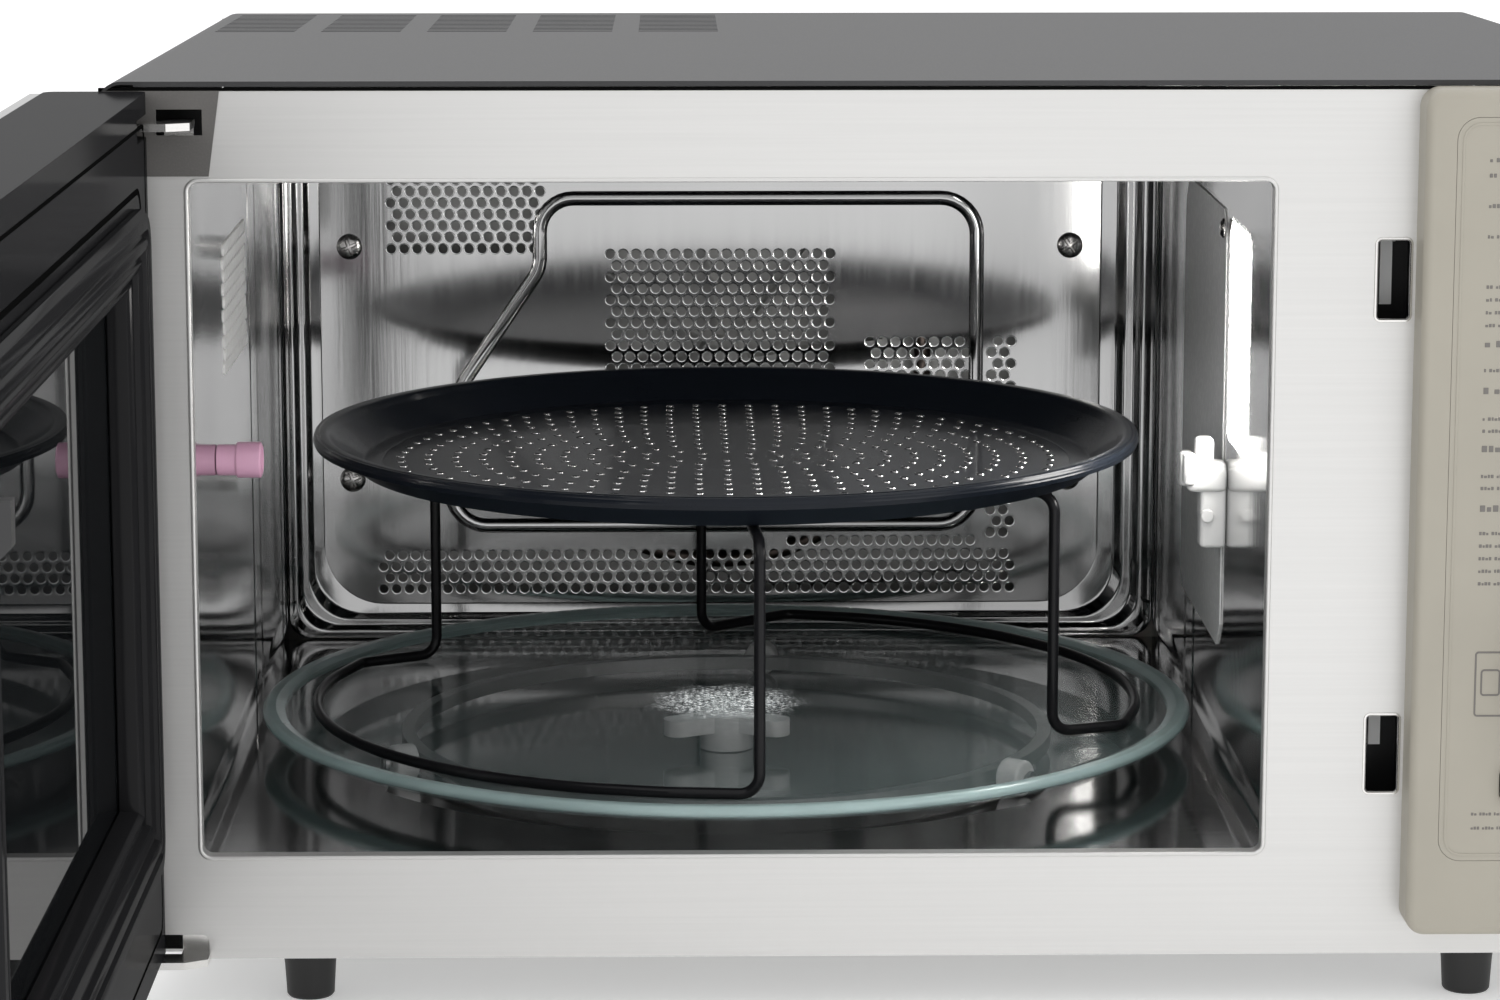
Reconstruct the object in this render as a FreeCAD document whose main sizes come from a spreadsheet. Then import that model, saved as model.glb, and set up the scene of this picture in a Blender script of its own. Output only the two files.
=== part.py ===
import FreeCAD, Part
import math
import os
import re
import Sketcher

os.makedirs("parts", exist_ok=True)
doc = FreeCAD.newDocument("microwave_oven")
V = FreeCAD.Vector

# Driving sizes, in millimetres. X runs across the front from the middle of the body, Y runs back from
# the front plate and Z up from the floor. centre_x and front_y put that frame in the model's own, whose
# origin is on the floor under the middle of the oven with its door open.
sizes = dict(
    centre_x=27.75, front_y=1.2,
    body_width=520, body_depth=395, foot_height=20, sheet=1, plate_top=311.5,
    cover_top=314, cover_drop=5, cover_radius=8,
    vent_left=-248.8, vent_pitch=40.6, vent_width=30.5, vent_front=268, vent_step=9, vent_slit=3.4,
    open_left=-232.5, open_width=357, open_bottom=54, open_height=228.5, open_radius=4.5, lip=1.5,
    cavity_left=-232, cavity_right=124, cavity_floor=55, cavity_roof=282, cavity_depth=351,
    slot_left=157.5, slot_width=10.5, slot_height=26, slot_upper=235.5, slot_lower=76,
    hinge_x=-249.25, hinge_y=-8.75, door_x=-243.5, door_y=-2, door_width=424.5,
    door_bottom=24, door_height=287, frame_depth=33, glass_depth=5,
    window_side=54, window_width=296, window_bottom=80, window_height=178, window_inset=8,
    plateau_side=28, plateau_width=348, plateau_bottom=59, plateau_height=218.5, plateau_proud=4,
    arm_thick=2.5, upper_arm=299, lower_arm=20.2, pin_radius=2.5, running=0.05,
    hook_left=415.75, hook_width=6, hook_height=12, hook_reach=16, slide_left=406, slide_width=15.5,
    panel_left=170, panel_width=88.8, panel_bottom=30, panel_height=282, panel_proud=15, panel_wall=2.5,
    overlay_left=180, overlay_width=70, overlay_bottom=56, overlay_height=247, overlay_thick=1.2,
    display_left=200, display_width=43, display_bottom=258, display_height=32,
    dial_x=222, dial_z=118, dial_radius=18, dial_height=17, shaft_radius=3,
    button_left=200, button_step=25, button_bottom=76, button_width=21, button_height=12, button_proud=3,
    tray_x=-54, tray_y=178, tray_radius=172.5, tray_under=63.6, tray_thick=4, tray_rim=70,
    well_radius=150, well_depth=5, roller_radius=6.5, roller_width=9, roller_track=128, roller_z=56.8,
    coupler_radius=26, coupler_top=63.3, motor_radius=24,
    wire_radius=2, ring_radius=152, ring_z=69.9, rack_top=157, rack_top_radius=100,
    pan_radius=152, pan_under=159.4, pan_rim=171.5, pan_floor=136, pan_holes=126,
    fan_x=-54.5, fan_z=168, fan_radius=70, cover_back=357, plate_left=-217, plate_right=101,
    plate_bottom=69, plate_roof=277, plate_radius=22,
    hole_pitch=5.27, hole_row=4.68, hole_radius=1.98,
    chamber_left=-212, chamber_width=308, chamber_bottom=62, chamber_height=218, chamber_depth=30,
    foot_x=198, foot_front=26, foot_rear=352, foot_top_radius=9.5, foot_tip_radius=8,
)
sheet = doc.addObject("Spreadsheet::Sheet", "sizes")
for row, (name, value) in enumerate(sizes.items(), start=1):
    sheet.set(f"A{row}", name)
    sheet.set(f"B{row}", str(value))
    sheet.setAlias(f"B{row}", name)
doc.recompute()

# ---- helpers: every size is a formula on the sheet's names ----

turns = dict(
    X=FreeCAD.Rotation(V(0, 1, 0), 90),
    Y=FreeCAD.Rotation(V(1, 0, 0), -90),
    Z=FreeCAD.Rotation(),
)
places = {}
sub_parts = []


def formula(text):
    return re.sub(r"[a-z_]+", lambda m: "sizes." + m[0] if m[0] in sizes else m[0], str(text))


def number(text):
    return float(sheet.evalExpression(formula(text)))


def bind(item, **properties):
    for name, text in properties.items():
        item.setExpression(name, formula(text))
    return item


def put(item, at):
    places[item.Name] = at
    for axis, text in zip("xyz", at):
        item.setExpression("Placement.Base." + axis, formula(text))
    return item


def box(name, at, dims):
    item = doc.addObject("Part::Box", name)
    bind(item, Length=dims[0], Width=dims[1], Height=dims[2])
    return put(item, at)


def rod(name, at, radius, length, along="Z"):
    item = doc.addObject("Part::Cylinder", name)
    item.Placement = FreeCAD.Placement(V(), turns[along])
    bind(item, Radius=radius, Height=length)
    return put(item, at)


def fuse(name, *pieces):
    item = doc.addObject("Part::MultiFuse", name)
    item.Shapes = list(pieces)
    item.Refine = True
    return item


def cut(name, base, *tools):
    item = doc.addObject("Part::Cut", name)
    item.Base = base
    item.Tool = tools[0] if len(tools) == 1 else fuse(name + "_tools", *tools)
    return item


def rounded(name, base, radius, wanted):
    """Fillets the edges of base for which wanted(edge) is true."""
    doc.recompute()
    item = doc.addObject("Part::Fillet", name)
    item.Base = base
    r = number(radius)
    item.Edges = [(i, r, r) for i, edge in enumerate(base.Shape.Edges, start=1) if wanted(edge)]
    return item


def runs(axis):
    """A test for straight edges that run along the axis."""
    step = dict(x=V(1, 0, 0), y=V(0, 1, 0), z=V(0, 0, 1))[axis]

    def test(edge):
        ends = [vertex.Point for vertex in edge.Vertexes]
        return len(ends) == 2 and (ends[1] - ends[0]).cross(step).Length < 1e-6
    return test


def lies(axis, text):
    """A test for edges that lie in the plane at this height along the axis."""
    level = number(text)

    def test(edge):
        bounds = edge.BoundBox
        low, high = getattr(bounds, axis.upper() + "Min"), getattr(bounds, axis.upper() + "Max")
        return abs(low - level) < 1e-4 and abs(high - level) < 1e-4
    return test


def slab(name, at, dims, radius, along="y"):
    """A box whose edges along one axis are rounded."""
    return rounded(name, box(name + "_block", at, dims), radius, runs(along))


def outline(sketch, points):
    """A closed polygon, each corner held by two distances bound to the sheet."""
    corners = [V(number(x), number(y), 0) for x, y in points]
    for i, corner in enumerate(corners):
        sketch.addGeometry(Part.LineSegment(corner, corners[(i + 1) % len(corners)]))
    for i, (x, y) in enumerate(points):
        sketch.addConstraint(Sketcher.Constraint("Coincident", i, 2, (i + 1) % len(points), 1))
        for kind, name, text in (("DistanceX", "x", x), ("DistanceY", "y", y)):
            index = sketch.addConstraint(Sketcher.Constraint(kind, -1, 1, i, 1, number(text)))
            sketch.renameConstraint(index, f"{name}{i}")
            sketch.setExpression(f"Constraints.{name}{i}", formula(text))


def sketch_on(body, role, points):
    sketch = body.newObject("Sketcher::SketchObject", body.Name + "_outline")
    plane = [item for item in body.Origin.OriginFeatures if item.Role == role][0]
    sketch.AttachmentSupport = (plane, [""])
    sketch.MapMode = "FlatFace"
    outline(sketch, points)
    return sketch


def turned(name, points, at, along="Z"):
    """A body turned about its own axis from (radius, height) corners."""
    body = doc.addObject("PartDesign::Body", name)
    sketch = sketch_on(body, "XZ_Plane", points)
    turn = body.newObject("PartDesign::Revolution", name + "_turn")
    turn.Profile = sketch
    turn.ReferenceAxis = (sketch, ["V_Axis"])
    turn.Angle = 360
    body.Tip = turn
    body.Placement = FreeCAD.Placement(V(), turns[along])
    return put(body, at)


def padded(name, role, points, depth, at):
    """A body padded from a polygon, evenly to both sides of its plane."""
    body = doc.addObject("PartDesign::Body", name)
    sketch = sketch_on(body, role, points)
    pad = body.newObject("PartDesign::Pad", name + "_pad")
    pad.Profile = sketch
    pad.Midplane = True
    bind(pad, Length=depth)
    body.Tip = pad
    return put(body, at)


def computed(name, shape, at=("0", "0", "0")):
    item = doc.addObject("Part::Feature", name)
    item.Shape = shape
    places[item.Name] = at
    return item


def finish(item, label, on_door=False):
    """Names a sub-part and puts it from the oven's frame, or the door's, into the model's."""
    item.Label = label
    x, y, z = places.get(item.Name, ("0", "0", "0"))
    if on_door:
        quarter = FreeCAD.Rotation(V(0, 0, 1), -90)
        item.Placement = FreeCAD.Placement(V(), quarter.multiply(item.Placement.Rotation))
        put(item, (f"centre_x + door_x + ({y})", f"front_y + door_y - ({x})", z))
    else:
        put(item, (f"centre_x + ({x})", f"front_y + ({y})", z))
    sub_parts.append(item)


def pierced(corners, holes, windows, normal, depth):
    """A flat plate as a face with round holes (centre, radius) and polygon windows, pushed to depth."""
    rings = [Part.Wire(Part.makeCircle(radius, centre, normal)) for centre, radius in holes]
    openings = [Part.makePolygon(points + points[:1]) for points in windows]
    rim = corners if isinstance(corners, Part.Wire) else Part.makePolygon(corners + corners[:1])
    face = Part.makeFace([rim] + rings + openings, "Part::FaceMakerBullseye")
    return face.extrude(normal * depth)


def rounded_loop(x0, z0, x1, z1, radius, y):
    """A rectangle with round corners, standing in the plane at y."""
    k = radius * (1 - math.sqrt(0.5))
    corners = ((x1, z0, -1, 1), (x1, z1, -1, -1), (x0, z1, 1, -1), (x0, z0, 1, 1))
    edges = []
    ends = []
    for i, (x, z, dx, dz) in enumerate(corners):
        side = V(x + dx * radius, y, z)
        post = V(x, y, z + dz * radius)
        first, last = (side, post) if i % 2 == 0 else (post, side)
        ends.append((first, last))
        edges.append(Part.Arc(first, V(x + dx * k, y, z + dz * k), last).toShape())
        if i:
            edges.insert(-1, Part.LineSegment(ends[i - 1][1], first).toShape())
    edges.append(Part.LineSegment(ends[-1][1], ends[0][0]).toShape())
    return Part.Wire(edges)


def bent_wire(points, bend, radius):
    """The pieces of a round wire: straight runs through the points, joined by bends that touch both runs."""
    pieces = []
    start = points[0]
    for before, corner, after in zip(points, points[1:], points[2:]):
        back = (before - corner).normalize()
        ahead = (after - corner).normalize()
        half = back.getAngle(ahead) / 2
        reach = bend / math.tan(half)
        centre = corner + (back + ahead).normalize() * (bend / math.sin(half))
        first, last = corner + back * reach, corner + ahead * reach
        pieces.append(Part.makeCylinder(radius, (first - start).Length, start, first - start))
        section = Part.Face(Part.Wire(Part.makeCircle(radius, first, back)))
        axis = (first - centre).cross(last - centre).normalize()
        pieces.append(section.revolve(centre, axis, 180 - math.degrees(2 * half)))
        start = last
    pieces.append(Part.makeCylinder(radius, (points[-1] - start).Length, start, points[-1] - start))
    return pieces


# ---- body: cover, base, back and feet ----

def cover_block(name, inset, front, rear):
    """The cover's outer or inner form: a level-sided block whose top falls slightly to the rear."""
    top = f"cover_top - {inset} * sheet"
    foot = f"foot_height - 2 * {inset} * sheet"
    body = padded(name, "YZ_Plane", [(front, foot), (rear, foot), (rear, f"{top} - cover_drop"), (front, top)],
                  f"body_width - 2 * {inset} * sheet", ("0", "0", "0"))
    doc.recompute()
    return rounded(name + "_round", body, f"cover_radius - {inset} * sheet",
                   lambda e: len(e.Vertexes) == 2 and e.BoundBox.YLength > 300 and e.BoundBox.ZMin > 250)


outer = cover_block("cover_outer", 0, "-0.4", "body_depth")
inner = cover_block("cover_inner", 1, "-2", "body_depth + 2")
slits = [
    box(f"vent_{group}_{row}",
        (f"vent_left + {group} * vent_pitch", f"vent_front + {row} * vent_step", "cover_top - cover_drop - 6"),
        ("vent_width", "vent_slit", "14"))
    for group in range(5) for row in range(13)
]
side_slits = [
    box(f"side_vent_{side}_{row}", (f"{edge}", f"250 + {row} * 8", "120"), ("6", "3", "60"))
    for side, edge in enumerate(("-body_width / 2 - 3", "body_width / 2 - 3")) for row in range(12)
]
hem = box("cover_hem_strip", ("-body_width / 2 + 12", "-0.4", "cover_top - sheet - 0.7"),
          ("body_width - 24", "1.1", "1"))
finish(cut("outer_cover", fuse("cover_whole", cut("cover_shell", outer, inner), hem), *slits, *side_slits),
       "outer_cover")

base = box("base_sheet", ("-body_width / 2 + 1.5", "1.3", "foot_height"),
           ("body_width - 3", "body_depth - 3.6", "sheet"))
arm_notch = box("arm_notch", ("-body_width / 2", "0", "foot_height - 3"), ("36", "9", "9"))
intake = [rod(f"intake_{i}_{j}", (f"150 + {i} * 14", f"120 + {j} * 14", "foot_height - 2"), "4", "6")
          for i in range(6) for j in range(8)]
finish(cut("base_plate", base, arm_notch, *intake), "base_plate")

back = box("back_sheet", ("-body_width / 2 + 1.5", "body_depth - 2", "foot_height + 1.2"),
           ("body_width - 3", "sheet", "cover_top - cover_drop - foot_height - 3.2"))
back_hole = rod("back_hole", ("fan_x", "body_depth - 5", "fan_z"), "38", "10", "Y")
inlet_hole = rod("inlet_hole", ("215", "body_depth - 5", "48"), "8.1", "10", "Y")
grille = [box(f"grille_{i}_{j}", (f"150 + {i} * 24", "body_depth - 5", f"190 + {j} * 8"), ("18", "10", "4"))
          for i in range(4) for j in range(9)]
finish(cut("rear_panel", back, back_hole, inlet_hole, *grille), "rear_panel")

bump = slab("bump_outer", ("fan_x - 56", "body_depth - 0.9", "fan_z - 56"), ("112", "30", "112"), "10", "y")
bump_edge = rounded("bump_soft", bump, "5", lies("y", "body_depth + 29.1"))
bump_room = slab("bump_inner", ("fan_x - 54.5", "body_depth - 2", "fan_z - 54.5"), ("109", "29.6", "109"), "8.5", "y")
bump_slits = [box(f"bump_slit_{i}", ("fan_x - 34", "body_depth + 20", f"fan_z - 34 + {i} * 9"), ("68", "20", "4"))
              for i in range(8)]
finish(cut("motor_cover", bump_edge, bump_room, *bump_slits), "motor_cover")

for side, x in (("left", "-foot_x"), ("right", "foot_x")):
    for end, y in (("front", "foot_front"), ("rear", "foot_rear")):
        name = f"foot_{end}_{side}"
        finish(turned(name, [
            ("0", "0"), ("foot_tip_radius - 1", "0"), ("foot_tip_radius", "1"),
            ("foot_top_radius", "foot_height - 0.2"), ("0", "foot_height - 0.2")], (x, y, "0")), name)

finish(cut("cord_gland", fuse(
    "gland_body", rod("gland_shank", ("215", "body_depth - 6", "48"), "8", "14", "Y"),
    rod("gland_flange", ("215", "body_depth - 0.9", "48"), "11", "3", "Y"),
    rod("gland_neck", ("215", "body_depth + 2", "48"), "6.5", "10", "Y")),
    rod("gland_bore", ("215", "body_depth - 8", "48"), "3.6", "24", "Y")), "cord_gland")

# ---- front plate with the cavity mouth, latch slots and hinge openings ----

face = box("plate_sheet", ("-body_width / 2 + 1.5", "0", "foot_height"),
           ("body_width - 3", "sheet", "plate_top - foot_height"))
mouth = slab("mouth", ("open_left", "-5", "open_bottom"), ("open_width", "20", "open_height"), "open_radius")
slots = [slab(f"slot_{i}", ("slot_left", "-5", z), ("slot_width", "20", "slot_height"), "1.2")
         for i, z in enumerate(("slot_upper", "slot_lower"))]
hinge_gap = box("hinge_gap", ("-241", "-5", "296.5"), ("15", "20", "8.5"))
hinge_notch = slab("hinge_notch", ("-body_width / 2 - 6", "-5", "foot_height - 6"), ("36.5", "20", "14.4"), "2.5")
wiring_hole = box("wiring_hole", ("190", "-5", "150"), ("50", "20", "90"))
sheet_cut = cut("plate_cut", face, mouth, *slots, hinge_gap, hinge_notch, wiring_hole)
rim = cut("rim", slab("rim_outer", ("open_left", "-0.6", "open_bottom"),
                      ("open_width", "5.6", "open_height"), "open_radius"),
          slab("rim_inner", ("open_left + lip", "-5", "open_bottom + lip"),
               ("open_width - 2 * lip", "20", "open_height - 2 * lip"), "open_radius - lip"))
rim_soft = rounded("rim_soft", rim, "0.7", lies("y", "-0.6"))
finish(fuse("front_frame", sheet_cut, rim_soft), "front_frame")

corner_sheet = padded("corner_sheet", "XZ_Plane", [
    ("-258", "283.2"), ("-224.2", "283.2"), ("-220.3", "311"), ("-258", "311")], "0.4", ("0", "-0.3", "0"))
finish(cut("hinge_plate", corner_sheet, box("hinge_plate_gap", ("-241", "-5", "296.5"), ("15", "20", "8.5"))),
       "hinge_plate")

for name, z, tab_drop, pin_height in (("upper", "upper_arm", 14, 6), ("lower", "lower_arm", 0, 10)):
    tongue = padded(f"tongue_{name}", "XY_Plane", [
        ("hinge_x - 5", "hinge_y + 5.5"), ("hinge_x - 5", "hinge_y - 5.5"), ("hinge_x + 13", "hinge_y - 5.5"),
        ("hinge_x + 20.25", "hinge_y - 1.3"), ("hinge_x + 20.25", "5.8"), ("hinge_x + 10.75", "5.8"),
        ("hinge_x + 10.75", "hinge_y + 5.5")], "arm_thick", ("0", "0", f"{z} + arm_thick / 2"))
    tab = box(f"tab_{name}", ("hinge_x + 10.75", "1.3", f"{z} - {tab_drop}"), ("9.5", "1.5", "16.5"))
    pin = rod(f"hinge_pin_{name}", ("hinge_x", "hinge_y", z), "pin_radius", f"arm_thick + {pin_height}")
    finish(fuse(f"hinge_arm_{name}", tongue, tab, pin), f"hinge_arm_{name}")

# ---- cavity walls ----

perf = dict(pitch=number("hole_pitch"), row=number("hole_row"), radius=number("hole_radius"))


def staggered(x0, z0, x1, z1, place):
    """Centres of a staggered hole field between two corners; place turns (across, up) into a point."""
    centres = []
    for j in range(round((z1 - z0) / perf["row"]) + 1):
        shift = perf["pitch"] / 2 if j % 2 else 0
        for i in range(round((x1 - x0 - shift) / perf["pitch"]) + 1):
            centres.append((place(x0 + shift + i * perf["pitch"], z0 + j * perf["row"]), perf["radius"]))
    return centres


def side_wall(x, fields, windows):
    depth, low, high = number("cavity_depth"), number("cavity_floor"), number("cavity_roof")
    corners = [V(x, 5.3, low), V(x, depth, low), V(x, depth, high), V(x, 5.3, high)]
    holes = [hole for field in fields for hole in staggered(*field, lambda y, z: V(x, y, z))]
    panes = [[V(x, y0, z0), V(x, y1, z0), V(x, y1, z1), V(x, y0, z1)] for y0, z0, y1, z1 in windows]
    return pierced(corners, holes, panes, V(1, 0, 0), number("sheet"))


left_wall = computed("left_wall", side_wall(
    number("cavity_left - sheet"), [(114, 203, 191, 246)], []))
finish(left_wall, "cavity_left_wall")
right_wall = computed("right_wall", side_wall(
    number("cavity_right"), [(66, 180, 114, 253)], [(140, 122, 236, 238)]))
finish(right_wall, "cavity_right_wall")

floor_sheet = box("floor_sheet", ("cavity_left", "5.3", "cavity_floor - sheet"),
                  ("cavity_right - cavity_left", "cavity_depth - 5.3", "sheet"))
well_wall = rod("well_wall", ("tray_x", "tray_y", "cavity_floor - well_depth - sheet"),
                "well_radius + sheet", "well_depth + sheet")
well_room = rod("well_room", ("tray_x", "tray_y", "cavity_floor - well_depth"), "well_radius", "well_depth + 5")
drive_hole = rod("drive_hole", ("tray_x", "tray_y", "cavity_floor - well_depth - 5"), "6", "20")
finish(cut("cavity_floor_sheet", fuse("floor_whole", floor_sheet, well_wall), well_room, drive_hole),
       "cavity_floor")
finish(box("cavity_ceiling", ("cavity_left", "5.3", "cavity_roof"),
           ("cavity_right - cavity_left", "cavity_depth - 5.3", "sheet")), "cavity_ceiling")

# ---- rear of the cavity: stepped frame, pierced fan cover, its screws, and the air chamber behind ----

left, right = number("cavity_left"), number("cavity_right")
low, high = number("cavity_floor"), number("cavity_roof")
front_plane, rear_plane = number("cavity_depth + 0.1"), number("cover_back + sheet")


def funnel(grow, y0, y1):
    """A loft from the cavity's rear edge back to the edge of the fan cover."""
    near = rounded_loop(left + 5 - grow, low + 0.8 - grow, right - 3 + grow, high - 1 + grow, 30 + grow, y0)
    far = rounded_loop(number("plate_left") - grow, number("plate_bottom") - grow,
                       number("plate_right") + grow, number("plate_roof") + grow,
                       number("plate_radius") + grow, y1)
    return Part.makeLoft([near, far], True, True)


flange = pierced([V(left, front_plane, low), V(right, front_plane, low),
                  V(right, front_plane, high), V(left, front_plane, high)], [], [], V(0, 1, 0), 1)
frame_shape = flange.fuse(funnel(1, front_plane, rear_plane)).cut(funnel(0, front_plane - 0.05, rear_plane + 0.05))
finish(computed("rear_frame", frame_shape), "cavity_rear_frame")


def rear_field(x0, z0, x1, z1):
    y = number("cover_back")
    return staggered(x0, z0, x1, z1, lambda x, z: V(x, y, z))


fields = [(-188, 216, -130, 258), (-99, 120, -10, 213), (7, 112, 44, 177), (57, 98, 63, 177),
          (-193, 75, 63, 90), (-25, 94.7, 50, 95)]
screw_spots = [(-205, 217), (88.5, 217), (-205, 121), (88.5, 121)]
plate_wire = rounded_loop(number("plate_left + 0.1"), number("plate_bottom + 0.1"), number("plate_right - 0.1"),
                          number("plate_roof - 0.1"), number("plate_radius"), number("cover_back"))
holes = [hole for field in fields for hole in rear_field(*field)]
holes += [(V(x, number("cover_back"), z), 2.1) for x, z in screw_spots]
finish(computed("pierced_plate", pierced(plate_wire, holes, [], V(0, 1, 0), number("sheet"))), "fan_cover")

screws = [
    fuse(f"screw_{i}", rod(f"screw_head_{i}", (str(x), "cover_back - 2.2", str(z)), "4.2", "2.1", "Y"),
         rod(f"screw_shank_{i}", (str(x), "cover_back - 0.5", str(z)), "2", "9", "Y"))
    for i, (x, z) in enumerate(screw_spots)
]
screw_set = doc.addObject("Part::Compound", "fan_cover_screws")
screw_set.Links = screws
finish(screw_set, "fan_cover_screws")

chamber = cut("air_chamber", box("chamber_outer", ("chamber_left", "cover_back + 1.2", "chamber_bottom"),
                                 ("chamber_width", "chamber_depth", "chamber_height")),
              box("chamber_room", ("chamber_left + sheet", "cover_back - 3", "chamber_bottom + sheet"),
                  ("chamber_width - 2 * sheet", "chamber_depth + 3.2", "chamber_height - 2 * sheet")),
              rod("chamber_hole", ("fan_x", "cover_back", "fan_z"), "5", "60", "Y"))
finish(chamber, "air_chamber")

blades = []
for i in range(8):
    blade = doc.addObject("Part::Box", f"fan_blade_{i}")
    bind(blade, Length="fan_radius - 14", Width="1", Height="14")
    angle = i * math.pi / 4
    blade.Placement = FreeCAD.Placement(
        V(12 * math.cos(angle), 12 * math.sin(angle), 1), FreeCAD.Rotation(V(0, 0, 1), math.degrees(angle) + 8))
    blades.append(blade)
fan_disc = rod("fan_disc", ("0", "0", "0"), "fan_radius - 2", "1.2")
fan_hub = rod("fan_hub", ("0", "0", "0"), "9", "15")
fan_wheel = cut("fan_wheel", fuse("fan_whole", fan_disc, fan_hub, *blades),
                rod("fan_bore", ("0", "0", "-1"), "3.05", "14"))
fan_wheel.Placement = FreeCAD.Placement(V(), FreeCAD.Rotation(V(1, 0, 0), 90))
places[fan_wheel.Name] = ("fan_x", "cover_back + 27", "fan_z")
finish(fan_wheel, "convection_fan")
heater = doc.addObject("Part::Torus", "heater_ring")
heater.Placement = FreeCAD.Placement(V(), turns["Y"])
bind(heater, Radius1="fan_radius + 14", Radius2="3.4")
finish(put(heater, ("fan_x", "cover_back + 16", "fan_z")), "convection_heater")
finish(fuse("fan_motor", rod("fan_motor_can", ("fan_x", "cover_back + 32", "fan_z"), "29", "27", "Y"),
            rod("fan_motor_shaft", ("fan_x", "cover_back + 15.5", "fan_z"), "3", "20", "Y")), "convection_motor")

# ---- side fittings in the cavity ----

finish(padded("mica_sheet", "YZ_Plane", [
    ("134", "98"), ("240", "98"), ("249", "107"), ("249", "248"), ("240", "257"), ("134", "257"),
    ("125", "248"), ("125", "107")], "0.6", ("cavity_right - 0.4", "0", "0")), "waveguide_cover")
finish(turned("side_peg", [("0", "0"), ("5.4", "0"), ("5.4", "7"), ("6.2", "7.4"), ("6.2", "15.4"),
                           ("5.6", "16"), ("0", "16")], ("cavity_left + 0.05", "81", "176"), "X"), "side_peg")
bracket_stem = box("bracket_stem", ("cavity_right - 9.4", "115", "137"), ("9.3", "10", "26"))
bracket_shelf = slab("bracket_shelf", ("cavity_right - 16", "112", "157"), ("14.6", "16", "13"), "2.5", "x")
bracket_head = slab("bracket_head", ("cavity_right - 11", "116", "168"), ("10.9", "8", "9"), "2", "x")
finish(fuse("side_bracket", bracket_stem, bracket_shelf, bracket_head), "side_bracket")
finish(fuse("lamp", rod("lamp_socket", ("cavity_right + 16", "90", "172"), "9", "20"),
            turned("lamp_bulb", [("0", "0"), ("7", "0"), ("12", "14"), ("12", "30"), ("6", "40"), ("0", "41")],
                   ("cavity_right + 16", "90", "191"))), "oven_lamp")

# ---- turntable: motor, coupler, roller ring, tray, rack and pan ----

finish(fuse("drive_motor", rod("drive_can", ("tray_x", "tray_y", "foot_height + 1.3"), "motor_radius", "22"),
            rod("drive_neck", ("tray_x", "tray_y", "foot_height + 20"), "5.5", "8.5"),
            rod("drive_shaft", ("tray_x", "tray_y", "foot_height + 20"), "3", "21")), "turntable_motor")

lobes = [slab(f"lobe_{i}", ("0", "-5.5", "coupler_top - 6"), ("coupler_radius", "11", "6"), "5", "z")
         for i in range(3)]
for i, lobe in enumerate(lobes):
    lobe.Placement = FreeCAD.Placement(V(), FreeCAD.Rotation(V(0, 0, 1), 90 + i * 120))
coupler = cut("coupler", fuse("coupler_whole", rod("coupler_hub", ("0", "0", "50.4"), "10", "coupler_top - 50.4"),
                              *lobes),
              rod("coupler_bore", ("0", "0", "45"), "3 + running", "16.4"))
places[coupler.Name] = ("tray_x", "tray_y", "0")
finish(coupler, "turntable_coupler")

roller_angles = (203, 323, 83)
ring_parts = [cut("ring_band", rod("ring_outer", ("0", "0", "roller_z - 2.5"), "roller_track - 7", "5"),
                  rod("ring_inner", ("0", "0", "roller_z - 5"), "roller_track - 12", "10"))]
for i, angle in enumerate(roller_angles):
    radial = FreeCAD.Rotation(V(0, 0, 1), angle).multiply(turns["X"])
    out = V(math.cos(math.radians(angle)), math.sin(math.radians(angle)), 0)
    for part_name, start, length, radius in (("axle", -9, 17, "1.5"), ("cap", 6, 1.5, "3")):
        pin = doc.addObject("Part::Cylinder", f"{part_name}_{i}")
        bind(pin, Radius=radius)
        pin.Height = length
        pin.Placement = FreeCAD.Placement(out * (number("roller_track") + start) + V(0, 0, number("roller_z")), radial)
        ring_parts.append(pin)
    roller = cut(f"roller_body_{i}",
                 rod(f"roller_rim_{i}", ("0", "0", "-roller_width / 2"), "roller_radius", "roller_width"),
                 rod(f"roller_bore_{i}", ("0", "0", "-roller_width"), "1.5 + running", "2 * roller_width"))
    soft = rounded(f"roller_soft_{i}", roller, "1.2",
                   lambda e: len(e.Vertexes) == 1 and e.Length > 30)
    soft.Placement = FreeCAD.Placement(V(), radial)
    places[soft.Name] = (f"tray_x + roller_track * ({out.x:.6f})", f"tray_y + roller_track * ({out.y:.6f})", "roller_z")
    finish(soft, f"roller_{i + 1}")
ring = fuse("roller_ring", *ring_parts)
places[ring.Name] = ("tray_x", "tray_y", "0")
finish(ring, "roller_ring")

finish(turned("glass_tray", [
    ("0", "tray_under"), ("tray_radius - 14", "tray_under"), ("tray_radius - 5", "tray_under + 1"),
    ("tray_radius - 0.8", "tray_under + 2.4"), ("tray_radius", "tray_under + 3.6"),
    ("tray_radius", "tray_rim - 1"), ("tray_radius - 1", "tray_rim"), ("tray_radius - 4", "tray_rim"),
    ("tray_radius - 15", "tray_under + tray_thick"), ("0", "tray_under + tray_thick")],
    ("tray_x", "tray_y", "0")), "glass_tray")

ring_r, ring_z, wire_r = number("ring_radius"), number("ring_z"), number("wire_radius")
top_z, top_r = number("rack_top"), number("rack_top_radius")


def around(radius, angle, z):
    a = math.radians(angle)
    return V(radius * math.cos(a), radius * math.sin(a), z)


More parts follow.
